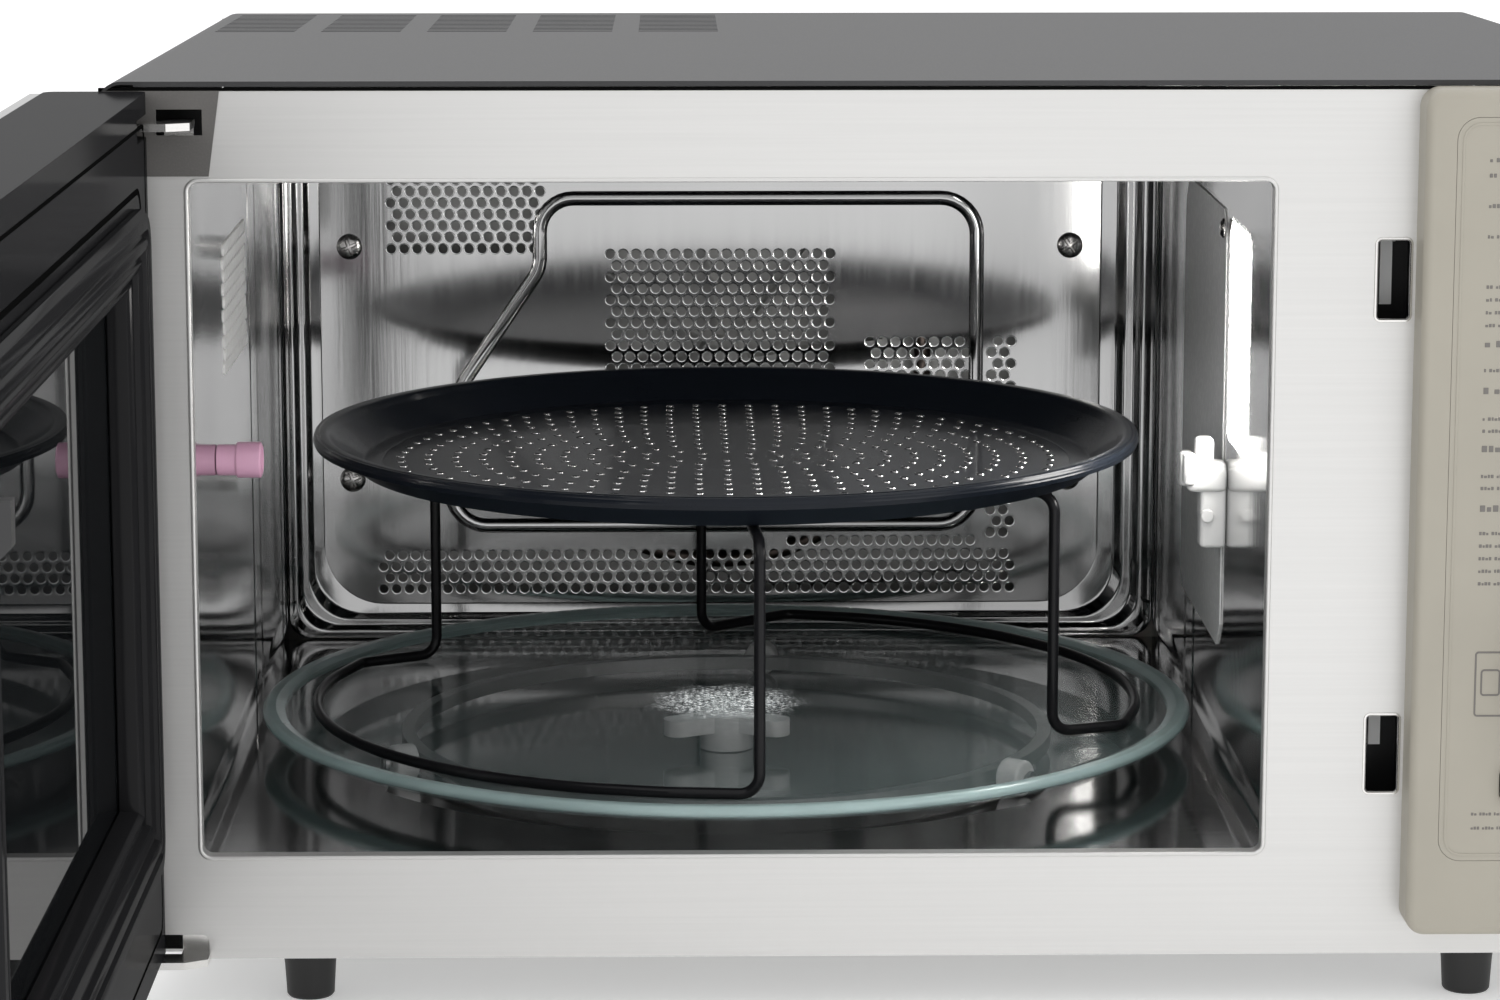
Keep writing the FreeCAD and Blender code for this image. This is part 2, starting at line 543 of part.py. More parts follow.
def rack_hoop(foot_in, foot_turn, ring_start, ring_end, end_in, end_turn):
    """One bent wire: down a leg, out to the base ring, round it, back in and up the other leg."""
    first = [around(top_r, foot_turn, top_z), around(foot_in, foot_turn, top_z),
             around(foot_in, foot_turn, ring_z), around(ring_r, ring_start, ring_z)]
    last = [around(ring_r, ring_end, ring_z), around(end_in, end_turn, ring_z),
            around(end_in, end_turn, top_z), around(top_r, end_turn, top_z)]
    section = Part.Face(Part.Wire(Part.makeCircle(wire_r, first[-1], V(0, 0, 1).cross(first[-1]))))
    arc = section.revolve(V(), V(0, 0, 1), ring_end - ring_start)
    return bent_wire(first, 7, wire_r) + [arc] + bent_wire(last, 7, wire_r)


hoop_left = rack_hoop(135, 146, 157, 262, 154, 273.5)
hoop_right = rack_hoop(132, -28, -20, 80, 121, 94)
top_ring = Part.makeTorus(top_r, wire_r + 0.2, V(0, 0, top_z), V(0, 0, 1))
rack_shape = top_ring.fuse(hoop_left + hoop_right)
finish(computed("rack_wires", rack_shape, ("tray_x", "tray_y", "0")), "wire_rack")

pan_floor, pan_holes, under = number("pan_floor"), number("pan_holes"), number("pan_under")
hole_rings = []
for ring_index in range(1, 13):
    radius = ring_index * 10
    count = round(2 * math.pi * radius / 10.5)
    for i in range(count):
        hole_rings.append((around(radius, (i + ring_index % 2 / 2) * 360 / count, under), 1.3))
pan_disc = pierced(Part.Wire(Part.makeCircle(pan_holes, V(0, 0, under))), hole_rings, [], V(0, 0, 1), 1)
pan_outline = [(pan_holes, under), (pan_floor, under), (pan_floor + 11, under + 8.6), (pan_floor + 13.2, under + 8.6),
               (number("pan_radius") - 0.6, under + 8), (number("pan_radius"), under + 9.6),
               (number("pan_radius") - 0.8, number("pan_rim")), (pan_floor + 11.6, number("pan_rim")),
               (pan_floor + 10, under + 9.8), (pan_floor - 0.8, under + 1), (pan_holes, under + 1)]
corners = [V(r, 0, z) for r, z in pan_outline]
pan_rim_shape = Part.Face(Part.makePolygon(corners + corners[:1])).revolve(V(), V(0, 0, 1), 360)
pan_shape = pan_disc.fuse(pan_rim_shape).removeSplitter()
finish(computed("pan_sheet", pan_shape, ("tray_x", "tray_y", "0")), "crisp_pan")

# ---- control panel ----

panel = slab("panel_block", ("panel_left", "-panel_proud", "panel_bottom"),
             ("panel_width", "panel_proud", "panel_height"), "6.5")
panel_soft = rounded("panel_soft", panel, "3", lies("y", "-panel_proud"))
panel_room = box("panel_room", ("panel_left + panel_wall", "-panel_proud + panel_wall + 1.3", "panel_bottom + panel_wall"),
                 ("panel_width - 2 * panel_wall", "panel_proud + 2", "panel_height - 2 * panel_wall"))
overlay_seat = slab("overlay_seat", ("overlay_left - 0.15", "-panel_proud - 2", "overlay_bottom - 0.15"),
                    ("overlay_width + 0.3", "2 + overlay_thick", "overlay_height + 0.3"), "7.5")
dial_hole = rod("dial_hole", ("dial_x", "-panel_proud - 3", "dial_z"), "shaft_radius + 1.5", "10", "Y")
button_holes = [slab(f"button_hole_{i}", (f"button_left + {i} * button_step - 0.4", "-panel_proud - 3", "button_bottom - 0.4"),
                     ("button_width + 0.8", "12", "button_height + 0.8"), "3.4") for i in range(2)]
finish(cut("panel_housing", panel_soft, panel_room, overlay_seat, dial_hole, *button_holes), "panel_housing")
overlay = slab("overlay_blank", ("overlay_left", "-panel_proud", "overlay_bottom"),
               ("overlay_width", "overlay_thick", "overlay_height"), "7.35")
display_cut = slab("display_cut", ("display_left - 0.1", "-panel_proud - 3", "display_bottom - 0.1"),
                   ("display_width + 0.2", "10", "display_height + 0.2"), "2.1")
finish(cut("overlay", overlay, display_cut,
           rod("overlay_dial_hole", ("dial_x", "-panel_proud - 3", "dial_z"), "shaft_radius + 1.5", "10", "Y"),
           *[slab(f"overlay_hole_{i}", (f"button_left + {i} * button_step - 0.4", "-panel_proud - 3", "button_bottom - 0.4"),
                  ("button_width + 0.8", "12", "button_height + 0.8"), "3.4") for i in range(2)]), "panel_overlay")
finish(slab("display", ("display_left", "-panel_proud - 0.3", "display_bottom"),
            ("display_width", "1.5", "display_height"), "2"), "display_window")
dial_cap = rod("dial_cap", ("dial_x", "-panel_proud - dial_height - 0.5", "dial_z"), "dial_radius", "dial_height", "Y")
dial_soft = rounded("dial_soft", dial_cap, "2", lies("y", "-panel_proud - dial_height - 0.5"))
finish(fuse("dial", dial_soft, rod("dial_shaft", ("dial_x", "-panel_proud - 3", "dial_z"),
                                   "shaft_radius", "12", "Y")), "dial")
for i, name in enumerate(("start_button", "stop_button")):
    key = slab(name + "_key", (f"button_left + {i} * button_step", "-panel_proud - button_proud", "button_bottom"),
               ("button_width", "button_proud + 3.4", "button_height"), "3")
    finish(rounded(name, key, "0.8", lies("y", "-panel_proud - button_proud")), name)
board = box("board", ("panel_left + 5", "-4.6", "panel_bottom + 6"), ("panel_width - 10", "1.6", "panel_height - 12"))
board_parts = [box("relay_1", ("180", "-3.1", "170"), ("20", "2.6", "16")),
               box("relay_2", ("205", "-3.1", "170"), ("20", "2.6", "16")),
               rod("encoder", ("dial_x", "-5.6", "dial_z"), "7", "1.2", "Y")]
finish(fuse("control_board", board, *board_parts), "control_board")

# ---- door interlock behind the latch slots ----

housing = cut("latch_box", box("latch_outer", ("151", "1.2", "62"), ("24", "34", "218")),
              box("latch_room", ("153.5", "-2", "65"), ("19", "34.5", "212")))
lever_spots = (("upper", 262, 238), ("lower", 110, 88))
pins = [rod(f"lever_pin_{name}", ("152.5", "26", str(z)), "1.5", "21", "X") for name, z, _ in lever_spots]
finish(fuse("latch_housing", housing, *pins), "latch_housing")
for name, pivot, tip in lever_spots:
    hub = rod(f"lever_hub_{name}", ("159", "26", str(pivot)), "4", "8", "X")
    blade = box(f"lever_blade_{name}", ("161", "18", str(tip)), ("4", "4", f"{pivot} - {tip}"))
    bridge = box(f"lever_bridge_{name}", ("161", "18", f"{pivot} - 3"), ("4", "8", "5"))
    finish(cut(f"interlock_lever_{name}", fuse(f"lever_{name}", hub, blade, bridge),
               rod(f"lever_bore_{name}", ("150", "26", str(pivot)), "1.5 + running", "30", "X")),
           f"interlock_lever_{name}")
switches = [fuse(f"switch_{i}", box(f"switch_case_{i}", ("175.3", "8", z), ("10", "20", "28")),
                 box(f"switch_button_{i}", ("178", "6.5", f"{z} + 18"), ("4", "2", "4")))
            for i, z in enumerate(("236", "160", "84"))]
switch_set = doc.addObject("Part::Compound", "interlock_switches")
switch_set.Links = switches
finish(switch_set, "interlock_switches")

# ---- microwave source, supply and cooling, behind the control panel ----

finish(cut("waveguide", box("guide_outer", ("cavity_right + 1.2", "128", "100"), ("26", "120", "150")),
           box("guide_room", ("cavity_right + 0.5", "129.5", "101.5"), ("25.2", "117", "147")),
           rod("guide_hole", ("cavity_right + 10", "188", "150"), "10", "40", "X")), "waveguide")
fins = [box(f"fin_{i}", ("cavity_right + 40", "150", f"120 + {i} * 9"), ("50", "76", "1.2")) for i in range(7)]
finish(fuse("magnetron", rod("magnetron_tube", ("cavity_right + 27.4", "188", "150"), "20", "66", "X"),
            rod("antenna", ("cavity_right + 12", "188", "150"), "8", "20", "X"),
            box("magnetron_plate", ("cavity_right + 27.4", "146", "106"), ("2.5", "84", "88")),
            box("magnetron_end", ("cavity_right + 92", "158", "118"), ("14", "60", "60")), *fins), "magnetron")
core = cut("core", box("core_block", ("160", "90", "24"), ("74", "62", "60")),
           box("core_window_1", ("172", "80", "36"), ("16", "90", "36")),
           box("core_window_2", ("206", "80", "36"), ("16", "90", "36")))
finish(fuse("power_supply", box("supply_plate", ("148", "80", "foot_height + 1.4"), ("98", "260", "2.7")), core,
            slab("winding", ("174", "82", "38"), ("46", "78", "32"), "6", "z"),
            slab("capacitor", ("152", "270", "24"), ("52", "34", "70"), "16", "z")), "power_supply")
shroud = cut("shroud", box("shroud_block", ("148", "372", "182"), ("98", "20", "90")),
             rod("shroud_hole", ("197", "360", "227"), "42", "50", "Y"))
struts = [box("strut_1", ("150", "373", "224"), ("94", "3", "6")), box("strut_2", ("194", "373", "184"), ("6", "3", "86"))]
finish(fuse("blower_frame", shroud, *struts, rod("blower_can", ("197", "352", "227"), "17", "23", "Y"),
            rod("blower_shaft", ("197", "370", "227"), "2", "14", "Y")), "blower_motor")
vanes = []
for i in range(5):
    vane = doc.addObject("Part::Box", f"vane_{i}")
    bind(vane, Length="31", Width="18", Height="1.2")
    angle = math.radians(i * 72)
    vane.Placement = FreeCAD.Placement(V(5 * math.cos(angle), 5 * math.sin(angle), 3), FreeCAD.Rotation(
        V(0, 0, 1), math.degrees(angle) - 12).multiply(FreeCAD.Rotation(V(1, 0, 0), 22)))
    vanes.append(vane)
wheel = cut("blower_wheel", fuse("blower_whole", rod("blower_hub", ("0", "0", "0"), "11", "12"), *vanes),
            rod("blower_bore", ("0", "0", "2"), "2 + running", "12"))
wheel.Placement = FreeCAD.Placement(V(), FreeCAD.Rotation(V(1, 0, 0), 90))
places[wheel.Name] = ("197", "389", "227")
finish(wheel, "blower_fan")

# ---- door, drawn shut: X along its width from the hinge end, Y towards the cavity, then hung open ----

frame = rounded("door_frame_soft", box("door_block", ("0", "-frame_depth", "door_bottom"),
                                       ("door_width", "frame_depth", "door_height")), "4", runs("z"))
aperture = slab("door_aperture", ("window_side - 4", "-60", "window_bottom - 4"),
                ("window_width + 8", "100", "window_height + 8"), "9")
arm_room = box("arm_room", ("-2", "-15", "upper_arm - 2.5"), ("30.5", "20", "arm_thick + 5"))
pin_holes = [rod("pin_hole_upper", ("door_y - hinge_y", "hinge_x - door_x", "upper_arm"), "pin_radius + running", "10"),
             rod("pin_hole_lower", ("door_y - hinge_y", "hinge_x - door_x", "door_bottom - 2"),
                 "pin_radius + running", "12")]
latch_room = box("latch_pocket", ("slide_left - 1", "-14", "74"), ("slide_width + 2", "11.5", "196"))
hook_slots = [box(f"hook_slot_{i}", ("slide_left + 9", "-4", z), ("slide_width - 8", "10", "18"))
              for i, z in enumerate(("239", "79.5"))]
finish(cut("door_frame", frame, aperture, arm_room, latch_room, *pin_holes, *hook_slots), "door_frame", True)

slide = box("slide_bar", ("slide_left", "-12", "78"), ("slide_width", "7", "184"))
hooks = [padded(f"hook_{i}", "YZ_Plane", [
    ("-6", "0"), ("9", "0"), ("9", "-3"), ("hook_reach - 4", "-3"), ("hook_reach", "1"), ("hook_reach", "hook_height"),
    ("-6", "hook_height")], "hook_width", ("hook_left + hook_width / 2", "0", z)) for i, z in enumerate(("240", "80.5"))]
finish(fuse("latch_slide", slide, *hooks), "latch_slide", True)

ring_plate = slab("choke_plate", ("plateau_side", "0.1", "plateau_bottom"),
                  ("plateau_width", "plateau_proud - 0.1", "plateau_height"), "12")
collar = slab("choke_collar", ("window_side - 3.6", "-window_inset", "window_bottom - 3.6"),
              ("window_width + 7.2", "window_inset + 1", "window_height + 7.2"), "8.6")
opening = slab("choke_opening", ("window_side", "-30", "window_bottom"), ("window_width", "60", "window_height"), "6")
choke = rounded("choke_soft", cut("choke_ring", fuse("choke_whole", ring_plate, collar), opening), "3.2",
                lies("y", "plateau_proud"))
finish(choke, "choke_cover", True)

finish(slab("inner_pane", ("window_side - 3.4", "-window_inset - 4.2", "window_bottom - 3.4"),
            ("window_width + 6.8", "4", "window_height + 6.8"), "8"), "door_inner_glass", True)
screen_y, screen_holes = number("-window_inset - 8"), []
left, bottom = number("window_side"), number("window_bottom")
for i in range(37):
    screen_holes += [(V(left + 4 + i * 8, screen_y, bottom + 5 + j * 8), 2.6) for j in range(22)]
screen_wire = rounded_loop(left - 3.2, bottom - 3.2, left + number("window_width") + 3.2,
                           bottom + number("window_height") + 3.2, 7, screen_y)
finish(computed("screen_sheet", pierced(screen_wire, screen_holes, [], V(0, 1, 0), 0.6)), "door_screen", True)
finish(rounded("outer_pane_soft", slab("outer_pane", ("0.2", "-frame_depth - glass_depth", "door_bottom + 0.2"),
                                       ("door_width - 0.4", "glass_depth", "door_height - 0.4"), "5"),
               "1.5", lies("y", "-frame_depth - glass_depth")), "door_outer_glass", True)
bar = slab("handle_bar", ("388", "-72", "66"), ("14", "15", "202"), "5", "z")
posts = [slab(f"handle_post_{i}", ("390", "-60", z), ("10", "21.7", "22"), "3") for i, z in enumerate(("74", "238"))]
finish(fuse("handle", bar, *posts), "door_handle", True)

# ---- check every object and write the sub-parts ----

doc.recompute()
for item in doc.Objects:
    if "Invalid" in item.State or "Error" in item.State:
        raise RuntimeError(f"{item.Label}: {item.State}")
for item in sub_parts:
    if item.Shape.isNull() or not item.Shape.isValid():
        raise RuntimeError(f"{item.Label}: the shape is not valid")
    item.Shape.exportStep(f"parts/{item.Label}.step")
print(len(sub_parts), "sub-parts written")
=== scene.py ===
import math

import bmesh
import bpy
import numpy as np
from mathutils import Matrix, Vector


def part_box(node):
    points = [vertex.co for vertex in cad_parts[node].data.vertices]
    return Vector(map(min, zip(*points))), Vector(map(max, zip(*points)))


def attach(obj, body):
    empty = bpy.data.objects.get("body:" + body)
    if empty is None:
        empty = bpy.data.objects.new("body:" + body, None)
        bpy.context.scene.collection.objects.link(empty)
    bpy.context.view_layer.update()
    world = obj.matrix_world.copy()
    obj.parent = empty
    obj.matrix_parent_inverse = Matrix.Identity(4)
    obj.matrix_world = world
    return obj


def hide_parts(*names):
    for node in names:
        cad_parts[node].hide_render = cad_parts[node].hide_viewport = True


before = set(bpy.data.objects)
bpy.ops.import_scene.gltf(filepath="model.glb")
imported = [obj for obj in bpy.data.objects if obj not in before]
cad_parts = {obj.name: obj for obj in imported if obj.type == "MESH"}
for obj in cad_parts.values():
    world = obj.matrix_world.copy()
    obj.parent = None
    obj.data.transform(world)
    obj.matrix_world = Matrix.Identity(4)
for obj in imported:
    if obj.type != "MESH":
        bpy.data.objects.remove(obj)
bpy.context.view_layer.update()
print("frame loaded")

# the oven's own frame: x from the middle of the body, y back from the front plate, z from the floor
coverLow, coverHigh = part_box("outer_cover")
plateLow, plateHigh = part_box("front_frame")
middleX = (coverLow.x + coverHigh.x) / 2
frontY = plateLow.y + 0.0006
trayLow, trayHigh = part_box("glass_tray")
trayX, trayY = (trayLow.x + trayHigh.x) / 2, (trayLow.y + trayHigh.y) / 2
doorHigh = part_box("door_frame")[1]
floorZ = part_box("cavity_floor")[1].z


def inOven(points):
    # Oven-frame millimetres to metres in the row frame.
    return np.asarray(points, float) / 1000 + (middleX, frontY, 0)


def onDoor(points):
    # Door points (along from the hinge end, towards the cavity, up) in millimetres to where the open door hangs.
    p = np.asarray(points, float) / 1000
    return np.stack([doorHigh.x + p[..., 1], doorHigh.y - p[..., 0], p[..., 2]], -1)


# sums of shader sockets

class Wire:
    # A shader socket that can be used in sums.

    def __init__(self, paint, socket):
        self.paint, self.socket = paint, socket

    def maths(self, operation, *others):
        return self.paint.add("ShaderNodeMath", {"operation": operation}, [self, *others])

    def __add__(self, other): return self.maths("ADD", other)
    def __radd__(self, other): return self.maths("ADD", other)
    def __sub__(self, other): return self.maths("SUBTRACT", other)
    def __rsub__(self, other): return self.paint.add("ShaderNodeMath", {"operation": "SUBTRACT"}, [other, self])
    def __mul__(self, other): return self.maths("MULTIPLY", other)
    def __rmul__(self, other): return self.maths("MULTIPLY", other)
    def __truediv__(self, other): return self.maths("DIVIDE", other)
    def __pow__(self, other): return self.maths("POWER", other)
    def step(self, low, high):
        # Rises smoothly from 0 at low to 1 at high.
        return self.paint.add("ShaderNodeMapRange", {"interpolation_type": "SMOOTHSTEP"},
                              {"Value": self, "From Min": low, "From Max": high})


class Paint:
    # One material: its Principled shader, and one method that adds any other node.

    def __init__(self, name, **fixed):
        self.material = bpy.data.materials.new(name)
        self.material.use_nodes = True
        self.nodes, self.links = self.material.node_tree.nodes, self.material.node_tree.links
        self.shader = self.nodes["Principled BSDF"]
        for socket, value in fixed.items():
            self.set(socket.replace("_", " "), value)
        self.coords = self.add("ShaderNodeTexCoord", out="Object")

    def add(self, kind, settings=None, inputs=None, out=0):
        node = self.nodes.new(kind)
        for name, value in (settings or {}).items():
            if name == "stops":
                ramp = node.color_ramp
                while len(ramp.elements) < len(value):
                    ramp.elements.new(0.5)
                for element, (place, colour) in zip(ramp.elements, value):
                    element.position = place
                    element.color = (*colour, 1)
            else:
                setattr(node, name, value)
        pairs = inputs.items() if isinstance(inputs, dict) else enumerate(inputs or [])
        for socket, value in pairs:
            self.feed(node.inputs[socket], value)
        return Wire(self, node.outputs[out])

    def feed(self, socket, value):
        if isinstance(value, Wire):
            self.links.new(value.socket, socket)
        elif isinstance(value, tuple) and len(value) == 3 and socket.type == "RGBA":
            socket.default_value = (*value, 1)
        else:
            socket.default_value = value

    def set(self, socket, value):
        self.feed(self.shader.inputs[socket], value)
        return self

    def axes(self):
        split = self.add("ShaderNodeSeparateXYZ", inputs=[self.coords]).socket.node
        return [Wire(self, split.outputs[i]) for i in range(3)]

    def stretched(self, scale):
        return self.add("ShaderNodeMapping", inputs={"Vector": self.coords, "Scale": scale})

    def noise(self, scale, detail=2.0, vector=None, rough=0.5):
        return self.add("ShaderNodeTexNoise", inputs={"Vector": vector or self.coords, "Scale": scale,
                                                      "Detail": detail, "Roughness": rough})

    def mix(self, share, first, second):
        node = self.add("ShaderNodeMix", {"data_type": "RGBA"}).socket.node
        for socket, value in ((node.inputs[0], share), (node.inputs[6], first), (node.inputs[7], second)):
            self.feed(socket, value)
        return Wire(self, node.outputs[2])

    def bump(self, height, strength, distance):
        return self.set("Normal", self.add("ShaderNodeBump", inputs={"Strength": strength, "Distance": distance,
                                                                     "Height": height}))


def plasticPaint(name, colour, roughness, grain, depth, coat=0.0, shine=0.5):
    # Moulded plastic: a fine spark-eroded grain, slightly uneven gloss and a faint mottle in the colour.
    p = Paint(name, Roughness=roughness, Coat_Weight=coat, Coat_Roughness=0.12, Specular_IOR_Level=shine)
    mottle = p.noise(38, 3)
    p.set("Base Color", p.mix(mottle, tuple(c * 0.93 for c in colour), tuple(min(1, c * 1.06) for c in colour)))
    p.set("Roughness", mottle * 0.1 + (roughness - 0.05))
    p.bump(p.noise(grain, 2, rough=0.65), 0.35, depth)
    return p.material


def sheetPaint(name, colour, roughness, along, metallic=1.0, lines=0.5):
    # Rolled or brushed sheet: long fine streaks along one axis move its gloss and its colour a little.
    p = Paint(name, Metallic=metallic)
    scale = [900.0, 900.0, 900.0]
    scale["xyz".index(along)] = 9.0
    streak = p.noise(1.0, 3, p.stretched(tuple(scale)))
    cloud = p.noise(9, 2)
    p.set("Base Color", p.mix(streak, tuple(c * 0.94 for c in colour), tuple(min(1, c * 1.04) for c in colour)))
    p.set("Roughness", streak * 0.07 * lines + cloud * 0.05 + (roughness - 0.04))
    p.bump(streak, 0.06 * lines, 0.0001)
    return p.material


def paintedPaint(name, colour, roughness, grain=1500, depth=0.00006, shine=0.5):
    # Powder-coated sheet: tiny orange peel over an even colour with a faint dusting of lighter flecks.
    p = Paint(name, Specular_IOR_Level=shine)
    peel = p.noise(grain, 3, rough=0.6)
    cloud = p.noise(6, 2)
    p.set("Base Color", p.mix(peel.step(0.4, 0.75) * 0.6 + cloud * 0.3,
                              tuple(c * 0.9 for c in colour), tuple(c * 1.13 for c in colour)))
    p.set("Roughness", peel * 0.14 + (roughness - 0.07))
    p.bump(peel, 0.5, depth)
    return p.material


def cavityPaint(name, wall):
    # Polished stainless sheet. A pressed pattern of creases for this wall turns the reflections. The same steel is
    # given a lighter or darker grey for each wall as painted light and shade.
    p = Paint(name, Metallic=1.0)
    x, y, z = p.axes()
    polish = p.noise(1.0, 3, p.stretched((420.0, 420.0, 14.0) if wall != "floor" else (12.0, 420.0, 420.0)))
    wave = p.noise(7, 1)
    height = wave * 0.55 + polish * 0.012
    y0 = frontY
    if wall == "side":
        for start, rise in ((0.205, 0.9), (0.232, -0.5), (0.322, 1.2), (0.337, -1.0)):
            height = height + y.step(y0 + start, y0 + start + 0.007) * rise
        height = height + z.step(floorZ + 0.016, floorZ + 0.004) * 1.1
    # painted light and shade: one steel, lightest on the side walls, darker on the floor and ceiling, darkest on the
    # rear wall and fan cover
    litAndShadedGrey = {"side": 0.62, "floor": 0.4, "rear": 0.36}[wall]
    p.set("Base Color", p.mix(wave.step(0.3, 0.7), (litAndShadedGrey * 0.86,) * 3, (litAndShadedGrey * 1.16,) * 3))
    p.set("Roughness", polish * 0.06 + 0.07)
    p.bump(height, 1.0, 0.0022 if wall == "side" else 0.0012)
    return p.material


def glassPaint(name, colour, roughness, veil):
    # Clear moulded glass: mostly see-through, with a veil of sheen that thickens a little where the ripple is high.
    p = Paint(name, IOR=1.75, Specular_IOR_Level=0.9)
    ripple = p.noise(240, 3)
    p.set("Base Color", p.mix(ripple, tuple(c * 0.85 for c in colour), colour))
    p.set("Roughness", ripple * 0.12 + roughness)
    p.set("Alpha", ripple * 0.12 + veil)
    p.bump(ripple, 0.2, 0.0003)
    return p.material


def blackGlassPaint(name, colour, roughness, gloss):
    # Dark pane: gloss varies with long wiping marks, colour between the given one and 1.4 times it.
    p = Paint(name, Specular_IOR_Level=0.0, Coat_Weight=gloss, Coat_Roughness=0.012)
    wipe = p.noise(1.0, 2, p.stretched((30.0, 30.0, 160.0)))
    p.set("Base Color", p.mix(wipe, colour, tuple(c * 1.4 for c in colour)))
    p.set("Roughness", wipe * 0.03 + roughness)
    return p.material


def rimPaint(name, colour, roughness):
    # Thick glass seen on edge: part clear and part milky, cloudier where the noise is high.
    p = Paint(name, Transmission_Weight=0.55, IOR=1.5)
    cloud = p.noise(34, 3)
    p.set("Base Color", p.mix(cloud, tuple(c * 0.8 for c in colour), tuple(min(1, c * 1.25) for c in colour)))
    p.set("Roughness", cloud * 0.2 + roughness)
    p.bump(p.noise(160, 2), 0.25, 0.0004)
    return p.material


def frostGlowPaint(name, colour):
    # Frosted boss: grains of a fine noise are opaque and carry a painted glow for light scattered in the glass, the
    # rest is clear.
    p = Paint(name, Roughness=0.35, Emission_Strength=1.4)
    grain = p.noise(620, 4, rough=0.7)
    x, y, z = p.axes()
    radius = ((x - trayX) ** 2.0 + (y - trayY) ** 2.0) ** 0.5
    p.set("Base Color", p.mix(grain, tuple(c * 0.8 for c in colour), colour))
    # painted glow: the grains give off light though the boss is no lamp
    p.set("Emission Color", p.mix(grain.step(0.5, 0.7), (0.05, 0.06, 0.06), (1.0, 1.0, 1.0)))
    p.set("Alpha", grain.step(0.42, 0.62) * radius.step(0.034, 0.008))
    p.bump(grain, 0.6, 0.0008)
    return p.material


def enamelPaint(name, colour, roughness):
    # Dark fired coat with pin-head grain and a worn sheen on high places.
    p = Paint(name, Coat_Weight=0.16, Coat_Roughness=0.08, Specular_IOR_Level=0.1)
    grain = p.noise(2200, 2, rough=0.7)
    cloud = p.noise(22, 3)
    p.set("Base Color", p.mix(cloud, colour, tuple(c * 1.7 for c in colour)))
    p.set("Roughness", grain * 0.12 + cloud * 0.08 + (roughness - 0.1))
    p.bump(grain, 0.3, 0.00008)
    return p.material


def glowPaint(name, colour, strength):
    # Lit glass: emission between the given colour and 0.86 of it, mixed by noise.
    p = Paint(name, Roughness=0.5, Emission_Strength=strength)
    glass = p.noise(60, 2)
    p.set("Base Color", (0.9, 0.9, 0.88))
    p.set("Emission Color", p.mix(glass, colour, tuple(c * 0.86 for c in colour)))
    return p.material


paints = {
    "cover": paintedPaint("coverPaint", (0.056, 0.056, 0.058), 0.42, shine=0.1),
    "plate": sheetPaint("plateSteel", (0.66, 0.655, 0.645), 0.36, "x", metallic=0.6, lines=0.25),
    "wall": cavityPaint("cavityWall", "side"),
    "floor": cavityPaint("cavityFloor", "floor"),
    "rear": cavityPaint("cavityRear", "rear"),
    "zinc": sheetPaint("zincSheet", (0.5, 0.5, 0.49), 0.38, "x"),
    "hinge": paintedPaint("hingePaint", (0.12, 0.115, 0.11), 0.4),
    "bright": sheetPaint("brightSteel", (0.75, 0.74, 0.72), 0.2, "y"),
    "motor": sheetPaint("motorSteel", (0.45, 0.45, 0.45), 0.35, "z"),
    # painted highlights: bright steel on the hole rims of the fan cover and the pan, far lighter than the sheets
    # round them
    "edge": sheetPaint("paintedHighlightEdge", (0.8, 0.8, 0.8), 0.2, "z"),
    "screw": sheetPaint("screwSteel", (0.5, 0.49, 0.48), 0.22, "x"),
    "foot": plasticPaint("footPlastic", (0.012, 0.012, 0.012), 0.5, 1300, 0.00006),
    "panel": plasticPaint("panelPlastic", (0.36, 0.337, 0.284), 0.5, 1700, 0.00005),
    "film": plasticPaint("overlayFilm", (0.36, 0.337, 0.284), 0.42, 2600, 0.00003),
    "mark": plasticPaint("markInk", (0.16, 0.15, 0.14), 0.6, 900, 0.00001),
    "display": blackGlassPaint("displayPane", (0.012, 0.012, 0.014), 0.06, 0.8),
    "black": plasticPaint("blackPlastic", (0.02, 0.02, 0.021), 0.42, 1200, 0.00006),
    "white": plasticPaint("whitePlastic", (0.86, 0.86, 0.85), 0.4, 900, 0.00005),
    "roller": plasticPaint("rollerWhite", (0.97, 0.97, 0.96), 0.35, 900, 0.00005, coat=0.3),
    "pink": plasticPaint("pegPink", (0.72, 0.4, 0.56), 0.38, 700, 0.00006, coat=0.2),
    "board": plasticPaint("boardGreen", (0.03, 0.12, 0.05), 0.5, 600, 0.00008),
    "mica": paintedPaint("micaSheet", (0.92, 0.92, 0.91), 0.45, grain=420, depth=0.0001),
    "door": plasticPaint("doorPlastic", (0.014, 0.014, 0.015), 0.3, 1800, 0.00002, coat=0.16, shine=0.0),
    "groove": plasticPaint("grooveBlack", (0.004, 0.004, 0.004), 0.4, 1500, 0.00003, shine=0.0),
    "doorGlass": blackGlassPaint("doorPane", (0.008, 0.008, 0.009), 0.03, 1.0),
    "innerGlass": blackGlassPaint("innerPane", (0.004, 0.0045, 0.005), 0.2, 0.55),
    "handle": sheetPaint("handleAluminium", (0.62, 0.62, 0.62), 0.28, "z"),
    "screen": paintedPaint("screenBlack", (0.02, 0.02, 0.02), 0.45),
    "tray": glassPaint("trayGlass", (0.2, 0.27, 0.27), 0.02, 0.2),
    "rimGlass": rimPaint("trayRim", (0.62, 0.8, 0.79), 0.12),
    "rack": enamelPaint("rackEnamel", (0.007, 0.007, 0.008), 0.3),
    "pan": enamelPaint("panCoat", (0.007, 0.009, 0.013), 0.3),
    "heater": sheetPaint("heaterTube", (0.22, 0.18, 0.16), 0.4, "z"),
    "core": paintedPaint("coreVarnish", (0.13, 0.08, 0.05), 0.45),
    "glow": glowPaint("lampGlow", (1.0, 0.98, 0.95), 26.0),
    "frost": frostGlowPaint("frostedBossGlow", (0.9, 0.95, 0.96)),
}
